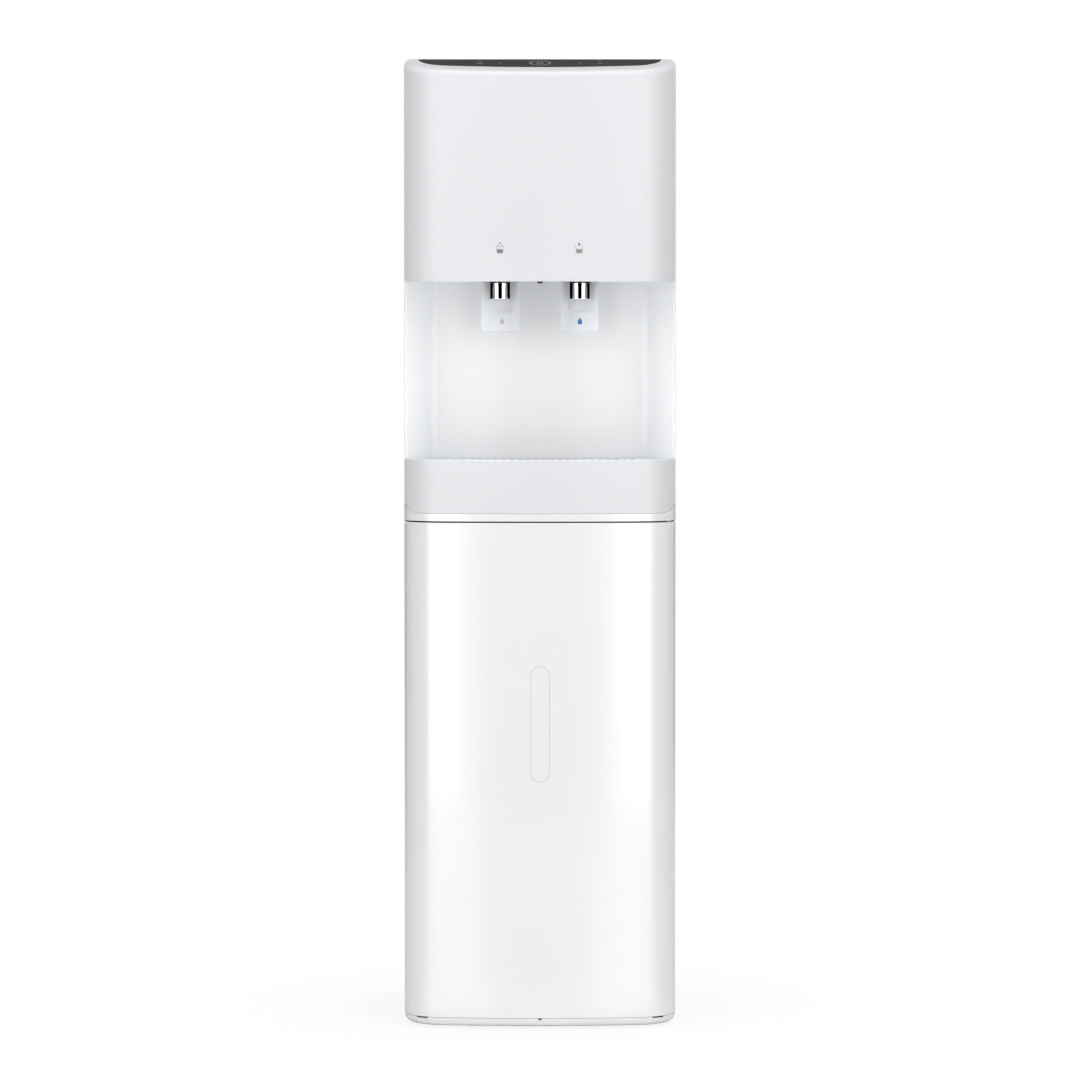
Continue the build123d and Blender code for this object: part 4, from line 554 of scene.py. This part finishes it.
# %% the paddle's plate
PADDLE_HALF, PADDLE_FRONT, PADDLE_T = 20.75, -105.0, 3.0
PADDLE_LOW, PIVOT_Z = 767.0, 833.0
PLATE_HIGH = PIVOT_Z - 3.0
RECESS_HALF, RECESS_LOW, RECESS_DEPTH, RECESS_ROUND = 13.0, 790.0, 0.8, 3.0
FLANGE_T, FLANGE_DEEP = 2.0, 4.0
FLANGE_LOW, FLANGE_HIGH = PADDLE_LOW + 4.0, NICHE_TOP - 2.0
CORNER_ROUND, LIP_ROUND, EDGE_ROUND = 1.5, 2.0, 0.3


def paddle_plate(name):
    """Plate with recess, flanges and rolled lower edge, on x = 0."""
    piece = start("cube", name, size=1.0,
                  scale=(2 * PADDLE_HALF * MM, PADDLE_T * MM, (PLATE_HIGH - PADDLE_LOW) * MM),
                  location=(0, (PADDLE_FRONT + PADDLE_T / 2) * MM,
                            (PLATE_HIGH + PADDLE_LOW) / 2 * MM))
    for place in (FLANGE_T - PADDLE_HALF, -RECESS_HALF, RECESS_HALF, PADDLE_HALF - FLANGE_T):
        slice_at("x", place * MM)
    for place in (FLANGE_LOW, RECESS_LOW, FLANGE_HIGH, NICHE_TOP):
        slice_at("z", place * MM)
    pick("faces", lambda f: f.normal.y < -0.9 and abs(middle(f).x) < RECESS_HALF * MM
         and RECESS_LOW * MM < middle(f).z < NICHE_TOP * MM)
    bpy.ops.mesh.extrude_region_move(TRANSFORM_OT_translate={"value": (0, RECESS_DEPTH * MM, 0)})
    pick("faces", lambda f: f.normal.y > 0.9 and abs(middle(f).x) > (PADDLE_HALF - FLANGE_T) * MM
         and FLANGE_LOW * MM < middle(f).z < FLANGE_HIGH * MM)
    bpy.ops.mesh.extrude_region_move(TRANSFORM_OT_translate={"value": (0, FLANGE_DEEP * MM, 0)})
    pick("edges", lambda e: near(middle(e).z, RECESS_LOW * MM, 1e-4)
         and near(abs(middle(e).x), RECESS_HALF * MM)
         and middle(e).y < (PADDLE_FRONT + RECESS_DEPTH) * MM
         and near(e.verts[0].co.z, e.verts[1].co.z))
    bpy.ops.mesh.bevel(offset=RECESS_ROUND * MM, segments=6)
    pick("edges", lambda e: near(middle(e).z, PADDLE_LOW * MM)
         and near(abs(middle(e).x), PADDLE_HALF * MM))
    bpy.ops.mesh.bevel(offset=CORNER_ROUND * MM, segments=5)
    pick("edges", lambda e: near(middle(e).y, PADDLE_FRONT * MM)
         and middle(e).z < (PADDLE_LOW + CORNER_ROUND + 0.1) * MM
         and max(abs(f.normal.y) for f in e.link_faces) > 0.9
         and min(abs(f.normal.y) for f in e.link_faces) < 0.1)
    bpy.ops.mesh.bevel(offset=LIP_ROUND * MM, segments=6)
    bpy.ops.object.mode_set(mode="OBJECT")
    modify(piece, "BEVEL", width=EDGE_ROUND * MM, segments=3, limit_method="ANGLE",
           angle_limit=radians(50))
    return piece


print("paddle plate", 2 * PADDLE_HALF, "by", PLATE_HIGH - PADDLE_LOW, "mm")

# %% [markdown]
# ## Hinge ears
# Two bored ears carry the paddle on its pin. They are turned like the nozzles and laid on their
# side, and a join makes one object of plate and ears, which moves with the paddle's body.

# %% hinge ears and the two paddles
EAR_BORE, EAR_R, EAR_HALF = 2.05, 4.2, 2.5


def hinge_ears(name):
    """The paddle's two bored ears, either side of the pin's gap."""
    rim, side = EAR_R - EDGE_ROUND, EAR_HALF - EDGE_ROUND
    profile = [(EAR_BORE, -EAR_HALF), (rim, -EAR_HALF), (EAR_R, -side), (EAR_R, side),
               (rim, EAR_HALF), (EAR_BORE, EAR_HALF)]
    ears = []
    for sign in (-1, 1):
        tube = turned(name, profile, 40)
        bpy.ops.object.mode_set(mode="OBJECT")
        tube.rotation_euler = (0, pi / 2, 0)
        tube.location = (sign * (PADDLE_HALF - EAR_HALF) * MM, (PADDLE_FRONT + PADDLE_T) * MM,
                         PIVOT_Z * MM)
        bpy.ops.object.transform_apply(location=True, rotation=True, scale=True)
        ears.append(tube)
    return ears


def joined(pieces):
    """One object of several."""
    deselect()
    for piece in pieces:
        piece.select_set(True)
    bpy.context.view_layer.objects.active = pieces[0]
    bpy.ops.object.join()
    return pieces[0]


for sign, side in ((-1, "left"), (1, "right")):
    plate = joined([paddle_plate(f"{side}_push_paddle")] + hinge_ears("ear"))
    settle(plate, f"{side}_paddle", "paddle_white_painted_shade", location=(sign * TAP_X * MM, 0, 0))
    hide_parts(f"{side}_paddle")

# %% [markdown]
# ## Inks
# Pad printing leaves an even film of ink a few hundredths of a millimetre thick. Its colour is
# almost even too: a fine grain makes it a little darker here and there. The bare plate on the
# back gets its brushed finish here as well.

# %% inks and foil
def ink(name, colour, roughness=0.4):
    """Print with a fine grain in its depth of colour."""
    finish = Finish(name, IOR=1.46)
    grain = finish.noise(900.0, 3.0)
    return finish.wear(Base_Color=finish.blend(grain, darker(colour, 0.82), colour),
                       Roughness=roughness + grain * 0.1)


FINISHES.update({
    "foil": drawn_metal("foil_plate", (0.70, 0.70, 0.69), 0.38, (0.02, 1.0, 1.0)),
    # grey print for the left cup, also painted shade in the gap round the door's inlay
    "grey_ink_and_gap_shade": ink("grey_print", (0.235, 0.24, 0.25)),
    "pale_ink": ink("pale_grey_print", (0.31, 0.315, 0.33)),
    "soft_ink": ink("soft_grey_print", (0.50, 0.49, 0.50)),
    "blue_ink": ink("blue_print", (0.07, 0.17, 0.50)),
    "panel_ink": ink("panel_grey_print", (0.34, 0.34, 0.34), 0.3),
    "panel_blue_ink": ink("panel_blue_print", (0.20, 0.28, 0.42), 0.3),
    "white_ink": ink("white_print", (0.80, 0.80, 0.80)),
})
print("inks", sum("ink" in slot for slot in FINISHES))

# %% [markdown]
# ## Flat shapes
# A flat filled curve is the natural start of a mark: loops inside loops become holes. It is made
# a mesh before it is placed, so that its place ends up in the mesh. Places are matrices. In a
# product of them the last one acts first: tip the sheet, then move it.

# %% flat shapes and their places
INK_FILM = 0.04


def flat_shape(name, loops, thick=INK_FILM):
    """Mesh of flat loops, given as lists of (x, y) in millimetres; inner loops are holes."""
    outline = bpy.data.curves.new(name, "CURVE")
    outline.dimensions, outline.fill_mode, outline.extrude = "2D", "BOTH", thick * MM / 2
    for loop in loops:
        spline = outline.splines.new("POLY")
        spline.points.add(len(loop) - 1)
        for point, (x, y) in zip(spline.points, loop):
            point.co = (x * MM, y * MM, 0.0, 1.0)
        spline.use_cyclic_u = True
    deselect()
    piece = bpy.data.objects.new(name, outline)
    bpy.context.collection.objects.link(piece)
    piece.select_set(True)
    bpy.context.view_layer.objects.active = piece
    bpy.ops.object.convert(target="MESH")
    return bpy.context.object


def moved(x, y, z):
    """Matrix of a shift in millimetres."""
    return Matrix.Translation((x, y, z))


def tipped(angle, axis):
    """Matrix of a turn in degrees."""
    return Matrix.Rotation(radians(angle), 4, axis)


def laid(piece, place):
    """Lay a flat piece at its place, a matrix from the sheet to the object in millimetres."""
    matrix = place.copy()
    matrix.translation = place.translation * MM
    piece.data.transform(matrix)
    return piece


def printed(name, loops, place, body, slot, thick=INK_FILM):
    """A flat shape with an even thickness, laid at its place."""
    return settle(laid(flat_shape(name, loops, thick), place), body, slot, angle=30.0)


print("ink film", INK_FILM, "mm")

# %% [markdown]
# ## Outlines
# Every mark is drawn from a few outlines in millimetres: drops, rings, bars, waves and a cup. A
# drop is an ellipse whose width is pinched towards its top, which gives the tip without any
# corner in the formula.

# %% outlines of the marks
DROP_BULGE = 0.77  # the widest reach of a circle once it is pinched


def drop_loop(wide, high, y=0.0, points=40):
    """A water drop: an ellipse pinched to a tip at its top."""
    loop = []
    for step in range(points):
        turn = 2 * pi * step / points
        pinch = sqrt((1 - sin(turn)) / 2) / DROP_BULGE
        loop.append((wide / 2 * cos(turn) * pinch, y + high / 2 * sin(turn)))
    return loop


def ring_loop(radius, points=48):
    """A circle."""
    return [(radius * cos(2 * pi * k / points), radius * sin(2 * pi * k / points))
            for k in range(points)]


def bar_loop(x0, y0, x1, y1, wide):
    """A straight stroke from one point to another."""
    along = Vector((x1 - x0, y1 - y0)).normalized() * wide / 2
    left, tip = Vector((-along.y, along.x)), along
    return [tuple(Vector((x0, y0)) - tip + left), tuple(Vector((x0, y0)) - tip - left),
            tuple(Vector((x1, y1)) + tip - left), tuple(Vector((x1, y1)) + tip + left)]


def wave_loop(x, y0, y1, wide, swing, points=16):
    """An upright wavy stroke, as for rising steam."""
    right, left = [], []
    for k in range(points + 1):
        y = y0 + (y1 - y0) * k / points
        bend = x + swing * sin(2 * pi * k / points)
        right.append((bend + wide / 2, y))
        left.append((bend - wide / 2, y))
    return right + left[::-1]


CUP = [(-4.1, 3.4), (-3.2, -5.6), (3.2, -5.6), (4.1, 3.4),
       (3.75, 3.4), (2.9, -5.25), (-2.9, -5.25), (-3.75, 3.4)]
WATER = ([(-3.3, -0.9)] + [(-2.75, -5.1), (2.75, -5.1), (3.3, -1.0)]
         + [(x / 4, -1.0 + 0.35 * sin(x / 1.9)) for x in range(11, -12, -2)])
print("cup", len(CUP), "points, its water", len(WATER))

# %% [markdown]
# ## Marks on the housing and the paddles
# Above each tap stands a cup that fills from a drop, an outlined drop for one tap and a solid one
# for the other. The housing is bowed, so each mark is turned to the surface where it sits. The
# paddles carry a grey and a blue drop, the usual sign for which tap is chilled.

# %% cups above the taps, drops on the paddles
BOW_R, FRONT_Y = 700.0, -185.0
CUP_Z, RIGHT_CUP_X, DROP_Z = 858.5, 42.7, 779.0
FACING_FRONT, FACING_BACK = tipped(90, "X"), tipped(-90, "X")


def on_bow(x, z):
    """Matrix that stands a flat shape upright on the bowed front."""
    y = FRONT_Y + BOW_R - sqrt(BOW_R ** 2 - x ** 2)
    return moved(x, y, z) @ tipped(degrees(asin(x / BOW_R)), "Z") @ FACING_FRONT


outlined_drop = [drop_loop(4.3, 5.6, y=3.9), drop_loop(3.1, 4.0, y=3.7)]
printed("left_cup_mark", [CUP, WATER] + outlined_drop, on_bow(-TAP_X, CUP_Z), "cabinet",
        "grey_ink_and_gap_shade")
printed("right_cup_mark", [CUP, WATER, drop_loop(2.8, 3.6, y=4.6)],
        on_bow(RIGHT_CUP_X, CUP_Z), "cabinet", "pale_ink")
for x, side, wide, high, colour in ((-42.1, "left", 4.4, 6.6, "soft_ink"),
                                    (44.4, "right", 5.4, 7.6, "blue_ink")):
    spot = moved(x, PADDLE_FRONT, DROP_Z) @ FACING_FRONT
    printed(f"{side}_drop_mark", [drop_loop(wide, high)], spot, f"{side}_paddle", colour)

# %% [markdown]
# ## Painted shade round the door's inlay
# The pill-shaped inlay is pressed into the door, and a hair-thin grey ring in the gap round it is
# painted shade, which draws the fine dark outline of the gap in the door's face. It is one more
# flat shape, a ring between two pill outlines, laid just under the surface so that it lies in the
# gap.

# %% painted shade in the inlay's gap
INLAY_Z, INLAY_HALF, INLAY_LONG = 337.0, 10.0, 127.0
GAP_SHADE_IN, GAP_SHADE_OUT, GAP_SHADE_SUNK = 0.02, 0.28, 0.1


def pill_loop(half, long, points=24):
    """Upright pill: two half rounds joined by straight sides."""
    rise = long / 2 - half
    upper = [(half * cos(pi * k / points), rise + half * sin(pi * k / points))
             for k in range(points + 1)]
    return upper + [(-x, -y) for x, y in upper]


# a grey ring of painted shade, lying in the gap round the inlay
gap_shade = [pill_loop(INLAY_HALF + gap, INLAY_LONG + 2 * gap) for gap in (GAP_SHADE_OUT, GAP_SHADE_IN)]
printed("inlay_gap_shade", gap_shade, moved(0, FRONT_Y + GAP_SHADE_SUNK, INLAY_Z) @ FACING_FRONT, "door",
        "grey_ink_and_gap_shade")

# %% [markdown]
# ## Bare plate on the back
# Such a machine carries a foil plate beside its switches. Here it is left bare: a thin rounded
# sheet, with a faint brushed grain from its finish.

# %% rear plate
PANEL_Y, FOIL = 163.0, 0.25
PLATE_X, PLATE_Z = -78.0, 978.0


def rounded_loop(wide, high, radius, points=8):
    """Rectangle with round corners, taken corner by corner."""
    loop = []
    for quarter, (sx, sy) in enumerate(((1, 1), (-1, 1), (-1, -1), (1, -1))):
        for k in range(points + 1):
            turn = pi / 2 * (quarter + k / points)
            loop.append((sx * (wide / 2 - radius) + radius * cos(turn),
                         sy * (high / 2 - radius) + radius * sin(turn)))
    return loop


printed("rear_plate", [rounded_loop(64.0, 40.0, 4.0)],
        moved(PLATE_X, PANEL_Y + FOIL / 2, PLATE_Z) @ FACING_BACK, "cabinet", "foil", FOIL)

# %% [markdown]
# ## Bead on the door's liner
# The inside of such a door is one moulding, with a raised bead that stiffens its large flat face.
# The bead is again a ring between two outlines, this time thick enough to be bevelled, and it
# sits on the liner's rear face.

# %% liner bead
LINER_Y, LINER_MID = -149.0, 294.0
BEAD_ACROSS, BEAD_LONG, BEAD_ROUND = 226.0, 452.0, 16.0
BEAD_WIDE, BEAD_HIGH, BEAD_EDGE = 6.0, 1.4, 0.6
bead = flat_shape("door_liner_bead", [
    rounded_loop(BEAD_ACROSS - 2 * inset, BEAD_LONG - 2 * inset, BEAD_ROUND - inset)
    for inset in (0.0, BEAD_WIDE)], BEAD_HIGH)
modify(bead, "BEVEL", width=BEAD_EDGE * MM, segments=3, limit_method="ANGLE")
settle(laid(bead, moved(0, LINER_Y + BEAD_HIGH / 2, LINER_MID) @ FACING_BACK), "door",
       "inner_white")

# %% [markdown]
# ## Marks under the control glass
# The touch panel shows a ring-shaped key in the middle, a warm sign at the left and a cold sign
# at the right. They lie on the slope, so the sheet is tipped by the slope's angle and each mark
# is placed by its distance below the ridge.

# %% control panel marks
SLOPE, RIDGE_Y, RIDGE_Z = 14.5, -120.0, 1068.0
KEY_BELOW, SIGN_BELOW, LIGHT_BELOW = 20.5, 23.5, 9.0
SIGN_X, LEVEL_X = 66.0, 44.0


def on_slope(x, below):
    """Matrix that lays a flat shape on the slope, so far below its ridge."""
    slope = radians(SLOPE)
    return moved(x, RIDGE_Y - below * cos(slope), RIDGE_Z - below * sin(slope)) @ tipped(
        SLOPE, "X")


key = [ring_loop(12.0), ring_loop(10.3)]
drop = [drop_loop(8.0, 11.0, y=0.3), drop_loop(5.6, 7.4, y=-0.2)]
printed("middle_key_mark", key + drop, on_slope(0, KEY_BELOW), "cabinet", "panel_ink")
warm = [wave_loop(x, -3.0, 3.0, 0.8, 0.7) for x in (-2.4, 0.0, 2.4)]
light = [bar_loop(-2.0, 0, 2.0, 0, 1.5)]
printed("warm_mark", warm, on_slope(-SIGN_X, SIGN_BELOW), "cabinet", "panel_ink")
printed("warm_light", light, on_slope(-SIGN_X, LIGHT_BELOW), "cabinet", "panel_ink")
flake = [bar_loop(-3 * cos(turn), -3 * sin(turn), 3 * cos(turn), 3 * sin(turn), 0.7)
         for turn in (0.0, pi / 3, 2 * pi / 3)]
for number, arm in enumerate(flake):
    printed(f"cold_mark_{number}", [arm], on_slope(SIGN_X, SIGN_BELOW), "cabinet",
            "panel_blue_ink")
printed("cold_light", light, on_slope(SIGN_X, LIGHT_BELOW), "cabinet", "panel_blue_ink")
for sign, side in ((-1, "left"), (1, "right")):
    printed(f"{side}_level_mark", [drop_loop(2.6, 3.6), drop_loop(1.6, 2.2)],
            on_slope(sign * LEVEL_X, KEY_BELOW), "cabinet", "panel_ink")

# %% [markdown]
# ## Rear screws
# Twelve pan head screws hold the rear panel. One head is turned, a tapered cross is cut from it
# with a boolean, and copies are set round the panel, each left at another angle, as a driver
# leaves them.

# %% screws with a cross recess
SCREW_X, SCREW_LOW, SCREW_PITCH = 142.5, 60.0, 238.75
FOOT_SCREW_X, FOOT_SCREW_Z = 50.0, 24.0
CROSS, CROSS_DEEP, CROSS_TAPER, LEFT_AT = 0.75, 1.6, 0.45, 37.0
DOME = [(3.8, 0.0), (3.8, 0.5), (3.6, 0.95), (3.1, 1.4), (2.4, 1.72), (1.5, 1.93), (0.5, 2.0)]
head = turned("screw_head", DOME, 32, closed=False)
bpy.ops.object.mode_set(mode="OBJECT")
cutter = start("cube", "cross", size=1.0, scale=(CROSS * MM, CROSS * MM, CROSS_DEEP * MM),
               location=(0, 0, CROSS_DEEP * MM))
pick("faces", lambda face: abs(face.normal.z) < 0.1)
bpy.ops.mesh.extrude_faces_move(TRANSFORM_OT_shrink_fatten={"value": 2 * CROSS * MM})
pick("verts", lambda point: point.co.z < CROSS_DEEP * MM)
bpy.ops.transform.resize(value=(CROSS_TAPER, CROSS_TAPER, 1.0),
                         center_override=(0, 0, CROSS_DEEP / 2 * MM))
bpy.ops.mesh.select_all(action="SELECT")
bpy.ops.mesh.normals_make_consistent(inside=False)
bpy.ops.object.mode_set(mode="OBJECT")
modify(head, "BOOLEAN", operation="DIFFERENCE", object=cutter, solver="EXACT")
bpy.data.objects.remove(cutter)
spots = [(side * SCREW_X, SCREW_LOW + row * SCREW_PITCH) for side in (-1, 1) for row in range(5)]
spots += [(-FOOT_SCREW_X, FOOT_SCREW_Z), (FOOT_SCREW_X, FOOT_SCREW_Z)]
heads = [laid(copied(head, f"head_{number}"),
              moved(x, PANEL_Y, z) @ FACING_BACK @ tipped(LEFT_AT * number, "Z"))
         for number, (x, z) in enumerate(spots)]
bpy.data.objects.remove(head)
screws = joined(heads)
screws.name = screws.data.name = "rear_screw_heads"
settle(screws, "cabinet", "screw_steel")
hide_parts("rear_screws")

# %% [markdown]
# ## Signs on the rocker switches
# A stroke stands for on and a ring for off. Each half of a rocker's face slopes, and the whole
# rocker is tipped about its axle, so the two turns are simply multiplied.

# %% strokes and rings on the rockers
AXLE_Y, SWITCH_Z, ROCKER_TILT = 159.0, 978.0, 8.0
FACE_RISE, FACE_HIGH, FACE_OUT = 1.4, 10.12, 6.9  # each half: rise, height, middle from axle
FACE_TILT = degrees(atan2(FACE_RISE, FACE_HIGH))
for x, switch in ((60.0, "hot_switch"), (92.0, "cold_switch")):
    rocker = moved(x, AXLE_Y, SWITCH_Z) @ tipped(ROCKER_TILT, "X")
    for sign, mark, loops in ((1, "stroke", [bar_loop(0, -1.6, 0, 1.6, 0.7)]),
                              (-1, "ring", [ring_loop(2.0), ring_loop(1.4)])):
        face = moved(0, FACE_OUT, sign * FACE_HIGH / 2) @ tipped(-sign * FACE_TILT, "X")
        printed(f"{switch}_{mark}", loops, rocker @ face @ FACING_BACK, switch, "white_ink")

# %% [markdown]
# ## Studio floor
# The photograph is a catalogue picture: a white room, two tall soft lights left and right of the
# camera, which draw the two bright bands down the door, and little light from the sides, so that
# the rounded edges turn grey. The floor glows white to the camera, a little less at the feet, and
# mirrored rays see it brighter in two beams ahead. Neither glow lights the object any more.

# %% floor
FLOOR_HALF, FLOOR_REACH = 30.0, 3.0  # metres: half its width, the distance where a ramp reads 1
SHADE_STOPS = ((0.064, 1.0), (0.085, 0.3), (0.16, 0.0))  # over the distance from the middle
FAR_STOPS = ((0.08, 0.0), (0.14, 1.0))
BEAM_STOPS = ((0.08, 0.0), (0.14, 1.0), (0.50, 1.0), (0.90, 0.0))  # over half of aside / ahead
SHADE, BEAM_GLOW = 0.12, 2.2


def white_floor():
    """White to the camera, shaded at the feet, with two beams for mirrored rays."""
    finish = Finish("pale_floor", Base_Color=(0.86, 0.86, 0.86, 1.0), Roughness=0.9)
    length = finish.node("ShaderNodeVectorMath", {"operation": "LENGTH"}, {0: finish.place})
    away = Value(finish, length.outputs["Value"]) / FLOOR_REACH
    parts = finish.node("ShaderNodeSeparateXYZ", sockets={0: finish.place})
    aside, ahead = Value(finish, parts.outputs["X"]), Value(finish, parts.outputs["Y"]) * -1.0
    beam = finish.ramp(aside.size() / ahead * 0.5, *BEAM_STOPS)
    rays = finish.node("ShaderNodeLightPath")
    mirrored = Value(finish, rays.outputs["Is Glossy Ray"]) * beam * finish.ramp(
        away, *FAR_STOPS)
    seen = Value(finish, rays.outputs["Is Camera Ray"]) * (
        1.0 - finish.ramp(away, *SHADE_STOPS) * SHADE)
    surface = finish.shader.outputs[0]
    for share, strength in ((mirrored, BEAM_GLOW), (seen, 1.0)):
        glow = finish.node("ShaderNodeEmission", sockets={
            "Color": (1.0, 1.0, 1.0, 1.0), "Strength": strength})
        surface = finish.node("ShaderNodeMixShader", sockets={
            0: share, 1: surface, 2: glow.outputs[0]}).outputs[0]
    output = next(n for n in finish.tree.nodes if n.type == "OUTPUT_MATERIAL")
    finish.feed(output.inputs["Surface"], surface)
    return finish


bpy.ops.mesh.primitive_plane_add(size=2 * FLOOR_HALF, location=(0, 0, 0))
floor = bpy.context.object
floor.name = "studio_floor"
floor.data.materials.append(white_floor().material)
print("floor", 2 * FLOOR_HALF, "m wide")

# %% [markdown]
# ## The white room
# To the camera the world is plain white, and it lights the object weakly from all sides. Mirrored
# rays see more in it: dark above and in the middle, pale walls at both sides in front, and a
# white wall low behind. The glossy door and the chrome get their light and dark edges from these.

# %% world
AMBIENT, MIRRORED_DARK = 0.32, 0.08
BEHIND_STOPS = ((0.50, 0.0), (0.62, 1.0))  # from ahead, 0, to behind, 1
LOW_STOPS = ((0.64, 1.0), (0.70, 0.0))  # from straight down, 0, to straight up, 1
FLANK_STOPS = ((0.20, 0.0), (0.34, 0.7), (0.90, 0.85), (0.99, 0.0))  # from the middle to a side


class Room(Finish):
    """The world's nodes, made with the same methods as a finish's."""

    def __init__(self, tree):
        self.tree = tree
        self.place = self.node("ShaderNodeTexCoord").outputs["Generated"]


world = bpy.data.worlds.new("white_room")
bpy.context.scene.world = world
world.use_nodes = True
room = Room(world.node_tree)
world.node_tree.nodes.remove(world.node_tree.nodes["Background"])
way = room.node("ShaderNodeSeparateXYZ", sockets={0: room.place})
behind = room.ramp(Value(room, way.outputs["Y"]) * 0.5 + 0.5, *BEHIND_STOPS)
low = room.ramp(Value(room, way.outputs["Z"]) * 0.5 + 0.5, *LOW_STOPS)
flank = room.ramp(Value(room, way.outputs["X"]).size(), *FLANK_STOPS)
rays = room.node("ShaderNodeLightPath")
camera_ray = Value(room, rays.outputs["Is Camera Ray"])
mirror_ray = Value(room, rays.outputs["Is Glossy Ray"]) + Value(
    room, rays.outputs["Is Transmission Ray"])
walls = behind * low * (1.0 - MIRRORED_DARK) + (1.0 - behind) * flank
mirrored = mirror_ray.clipped() * (MIRRORED_DARK + walls)
plain = (1.0 - (camera_ray + mirror_ray).clipped()) * AMBIENT
sky = room.node("ShaderNodeBackground", sockets={
    "Color": (1.0, 1.0, 1.0, 1.0), "Strength": camera_ray + mirrored + plain})
room.feed(next(n for n in room.tree.nodes if n.type == "OUTPUT_WORLD").inputs["Surface"],
          sky.outputs[0])
print("nodes of the world", len(room.tree.nodes))

# %% [markdown]
# ## Lamps
# Every lamp is a rectangle of soft light, placed by its angle round the object, as one would walk
# a lamp round a studio. Two stand beside the camera, one hangs above and one stands behind,
# hidden from mirrored rays so that the door's edge doesn't catch it. Three weak fills reach into
# the niche, and neither the camera nor a mirrored ray sees them.

# %% lamps
def softbox(name, azimuth, elevation, distance, size, power, aim=(0.0, 0.0, 0.55)):
    """Soft rectangle of light: angles in degrees round its aim, sizes in metres, power in W."""
    aim = Vector(aim)
    turn, lift = radians(azimuth), radians(elevation)
    spot = aim + distance * Vector((sin(turn) * cos(lift), -cos(turn) * cos(lift), sin(lift)))
    bpy.ops.object.light_add(type="AREA", location=spot)
    lamp = bpy.context.object
    lamp.name = name
    lamp.data.shape = "RECTANGLE"
    lamp.data.size, lamp.data.size_y = size
    lamp.data.energy = power
    lamp.rotation_euler = (aim - spot).to_track_quat("-Z", "Y").to_euler()
    return lamp


for sign, side in ((-1, "left"), (1, "right")):
    softbox(f"{side}_softbox", azimuth=sign * 35.5, elevation=8.0, distance=2.6,
            size=(1.9, 2.6), power=21.0)
softbox("top_softbox", azimuth=0.0, elevation=66.0, distance=2.4, size=(1.6, 1.2), power=31.0,
        aim=(0.0, -0.1, 1.0))
rear = softbox("rear_softbox", azimuth=150.0, elevation=30.0, distance=3.0, size=(1.6, 1.6),
               power=18.0)
rear.visible_glossy = False
fills = [softbox("niche_fill", azimuth=0.0, elevation=0.0, distance=0.19, size=(0.26, 0.12),
                 power=0.036, aim=(0.0, 0.0, 0.698))]
for sign, side, power in ((-1, "left", 0.046), (1, "right", 0.042)):
    fills.append(softbox(f"{side}_niche_fill", azimuth=-90.0 * sign, elevation=0.0,
                         distance=0.10, size=(0.05, 0.18), power=power,
                         aim=(sign * 0.135, -0.17, 0.725)))
for fill in fills:
    fill.visible_camera = fill.visible_glossy = False

# %% [markdown]
# ## Black cards for the chrome
# Chrome has no colour of its own: it draws whatever stands round it. The photographer's white
# room alone would leave the sleeves pale, so black cards are set round them. Here they are what
# is left of a tube round each sleeve once a gap is opened at both sides: a narrow strip in front
# and a wide one behind, which only mirrored rays can see.

# %% cards round the sleeves
CARD_R, CARD_LOW, CARD_HIGH = 16.0, 800.0, 829.0
GAP_FROM, GAP_TO = 17.6, 66.0  # degrees from straight ahead, where the tube is open
for side, x in (("left", -TAP_X), ("right", TAP_X)):
    card = start("cylinder", f"{side}_black_card", vertices=90, radius=CARD_R * MM,
                 depth=(CARD_HIGH - CARD_LOW) * MM, end_fill_type="NOTHING",
                 location=(x * MM, TAP_Y * MM, (CARD_HIGH + CARD_LOW) / 2 * MM))
    axis = Vector((x, TAP_Y, 0.0)) * MM
    pick("faces", lambda face: GAP_FROM < abs(degrees(
        atan2((middle(face) - axis).x, (axis - middle(face)).y))) < GAP_TO)
    bpy.ops.mesh.delete(type="FACE")
    bpy.ops.object.mode_set(mode="OBJECT")
    card.data.materials.append(Finish("black_card", Base_Color=(0.0, 0.0, 0.0, 1.0),
                                      Roughness=1.0, Specular_IOR_Level=0.0).material)
    card.visible_camera = card.visible_diffuse = card.visible_shadow = False
    print(card.name, len(card.data.polygons), "faces")

# %% [markdown]
# ## Camera
# The photograph was taken with a long lens from five and a half metres, a little above the middle
# of the cooler. The camera looks at the object's centre, so that turning round it keeps it
# centred.

# %% camera
LENS, SENSOR = 167.5, 36.0
CAMERA_SPOT = Vector((-0.02, -5.685, 0.773))
AIM = Vector((0.0005, 0.0, 0.5315))
bpy.ops.object.camera_add(location=CAMERA_SPOT)
camera = bpy.context.object
camera.data.lens = LENS
camera.data.sensor_width = SENSOR
camera.data.clip_end = 100.0
camera.rotation_euler = (AIM - CAMERA_SPOT).to_track_quat("-Z", "Y").to_euler()
bpy.context.scene.camera = camera
bpy.context.scene.view_settings.view_transform = "Standard"
print("camera", round((AIM - CAMERA_SPOT).length, 2), "m from its aim")
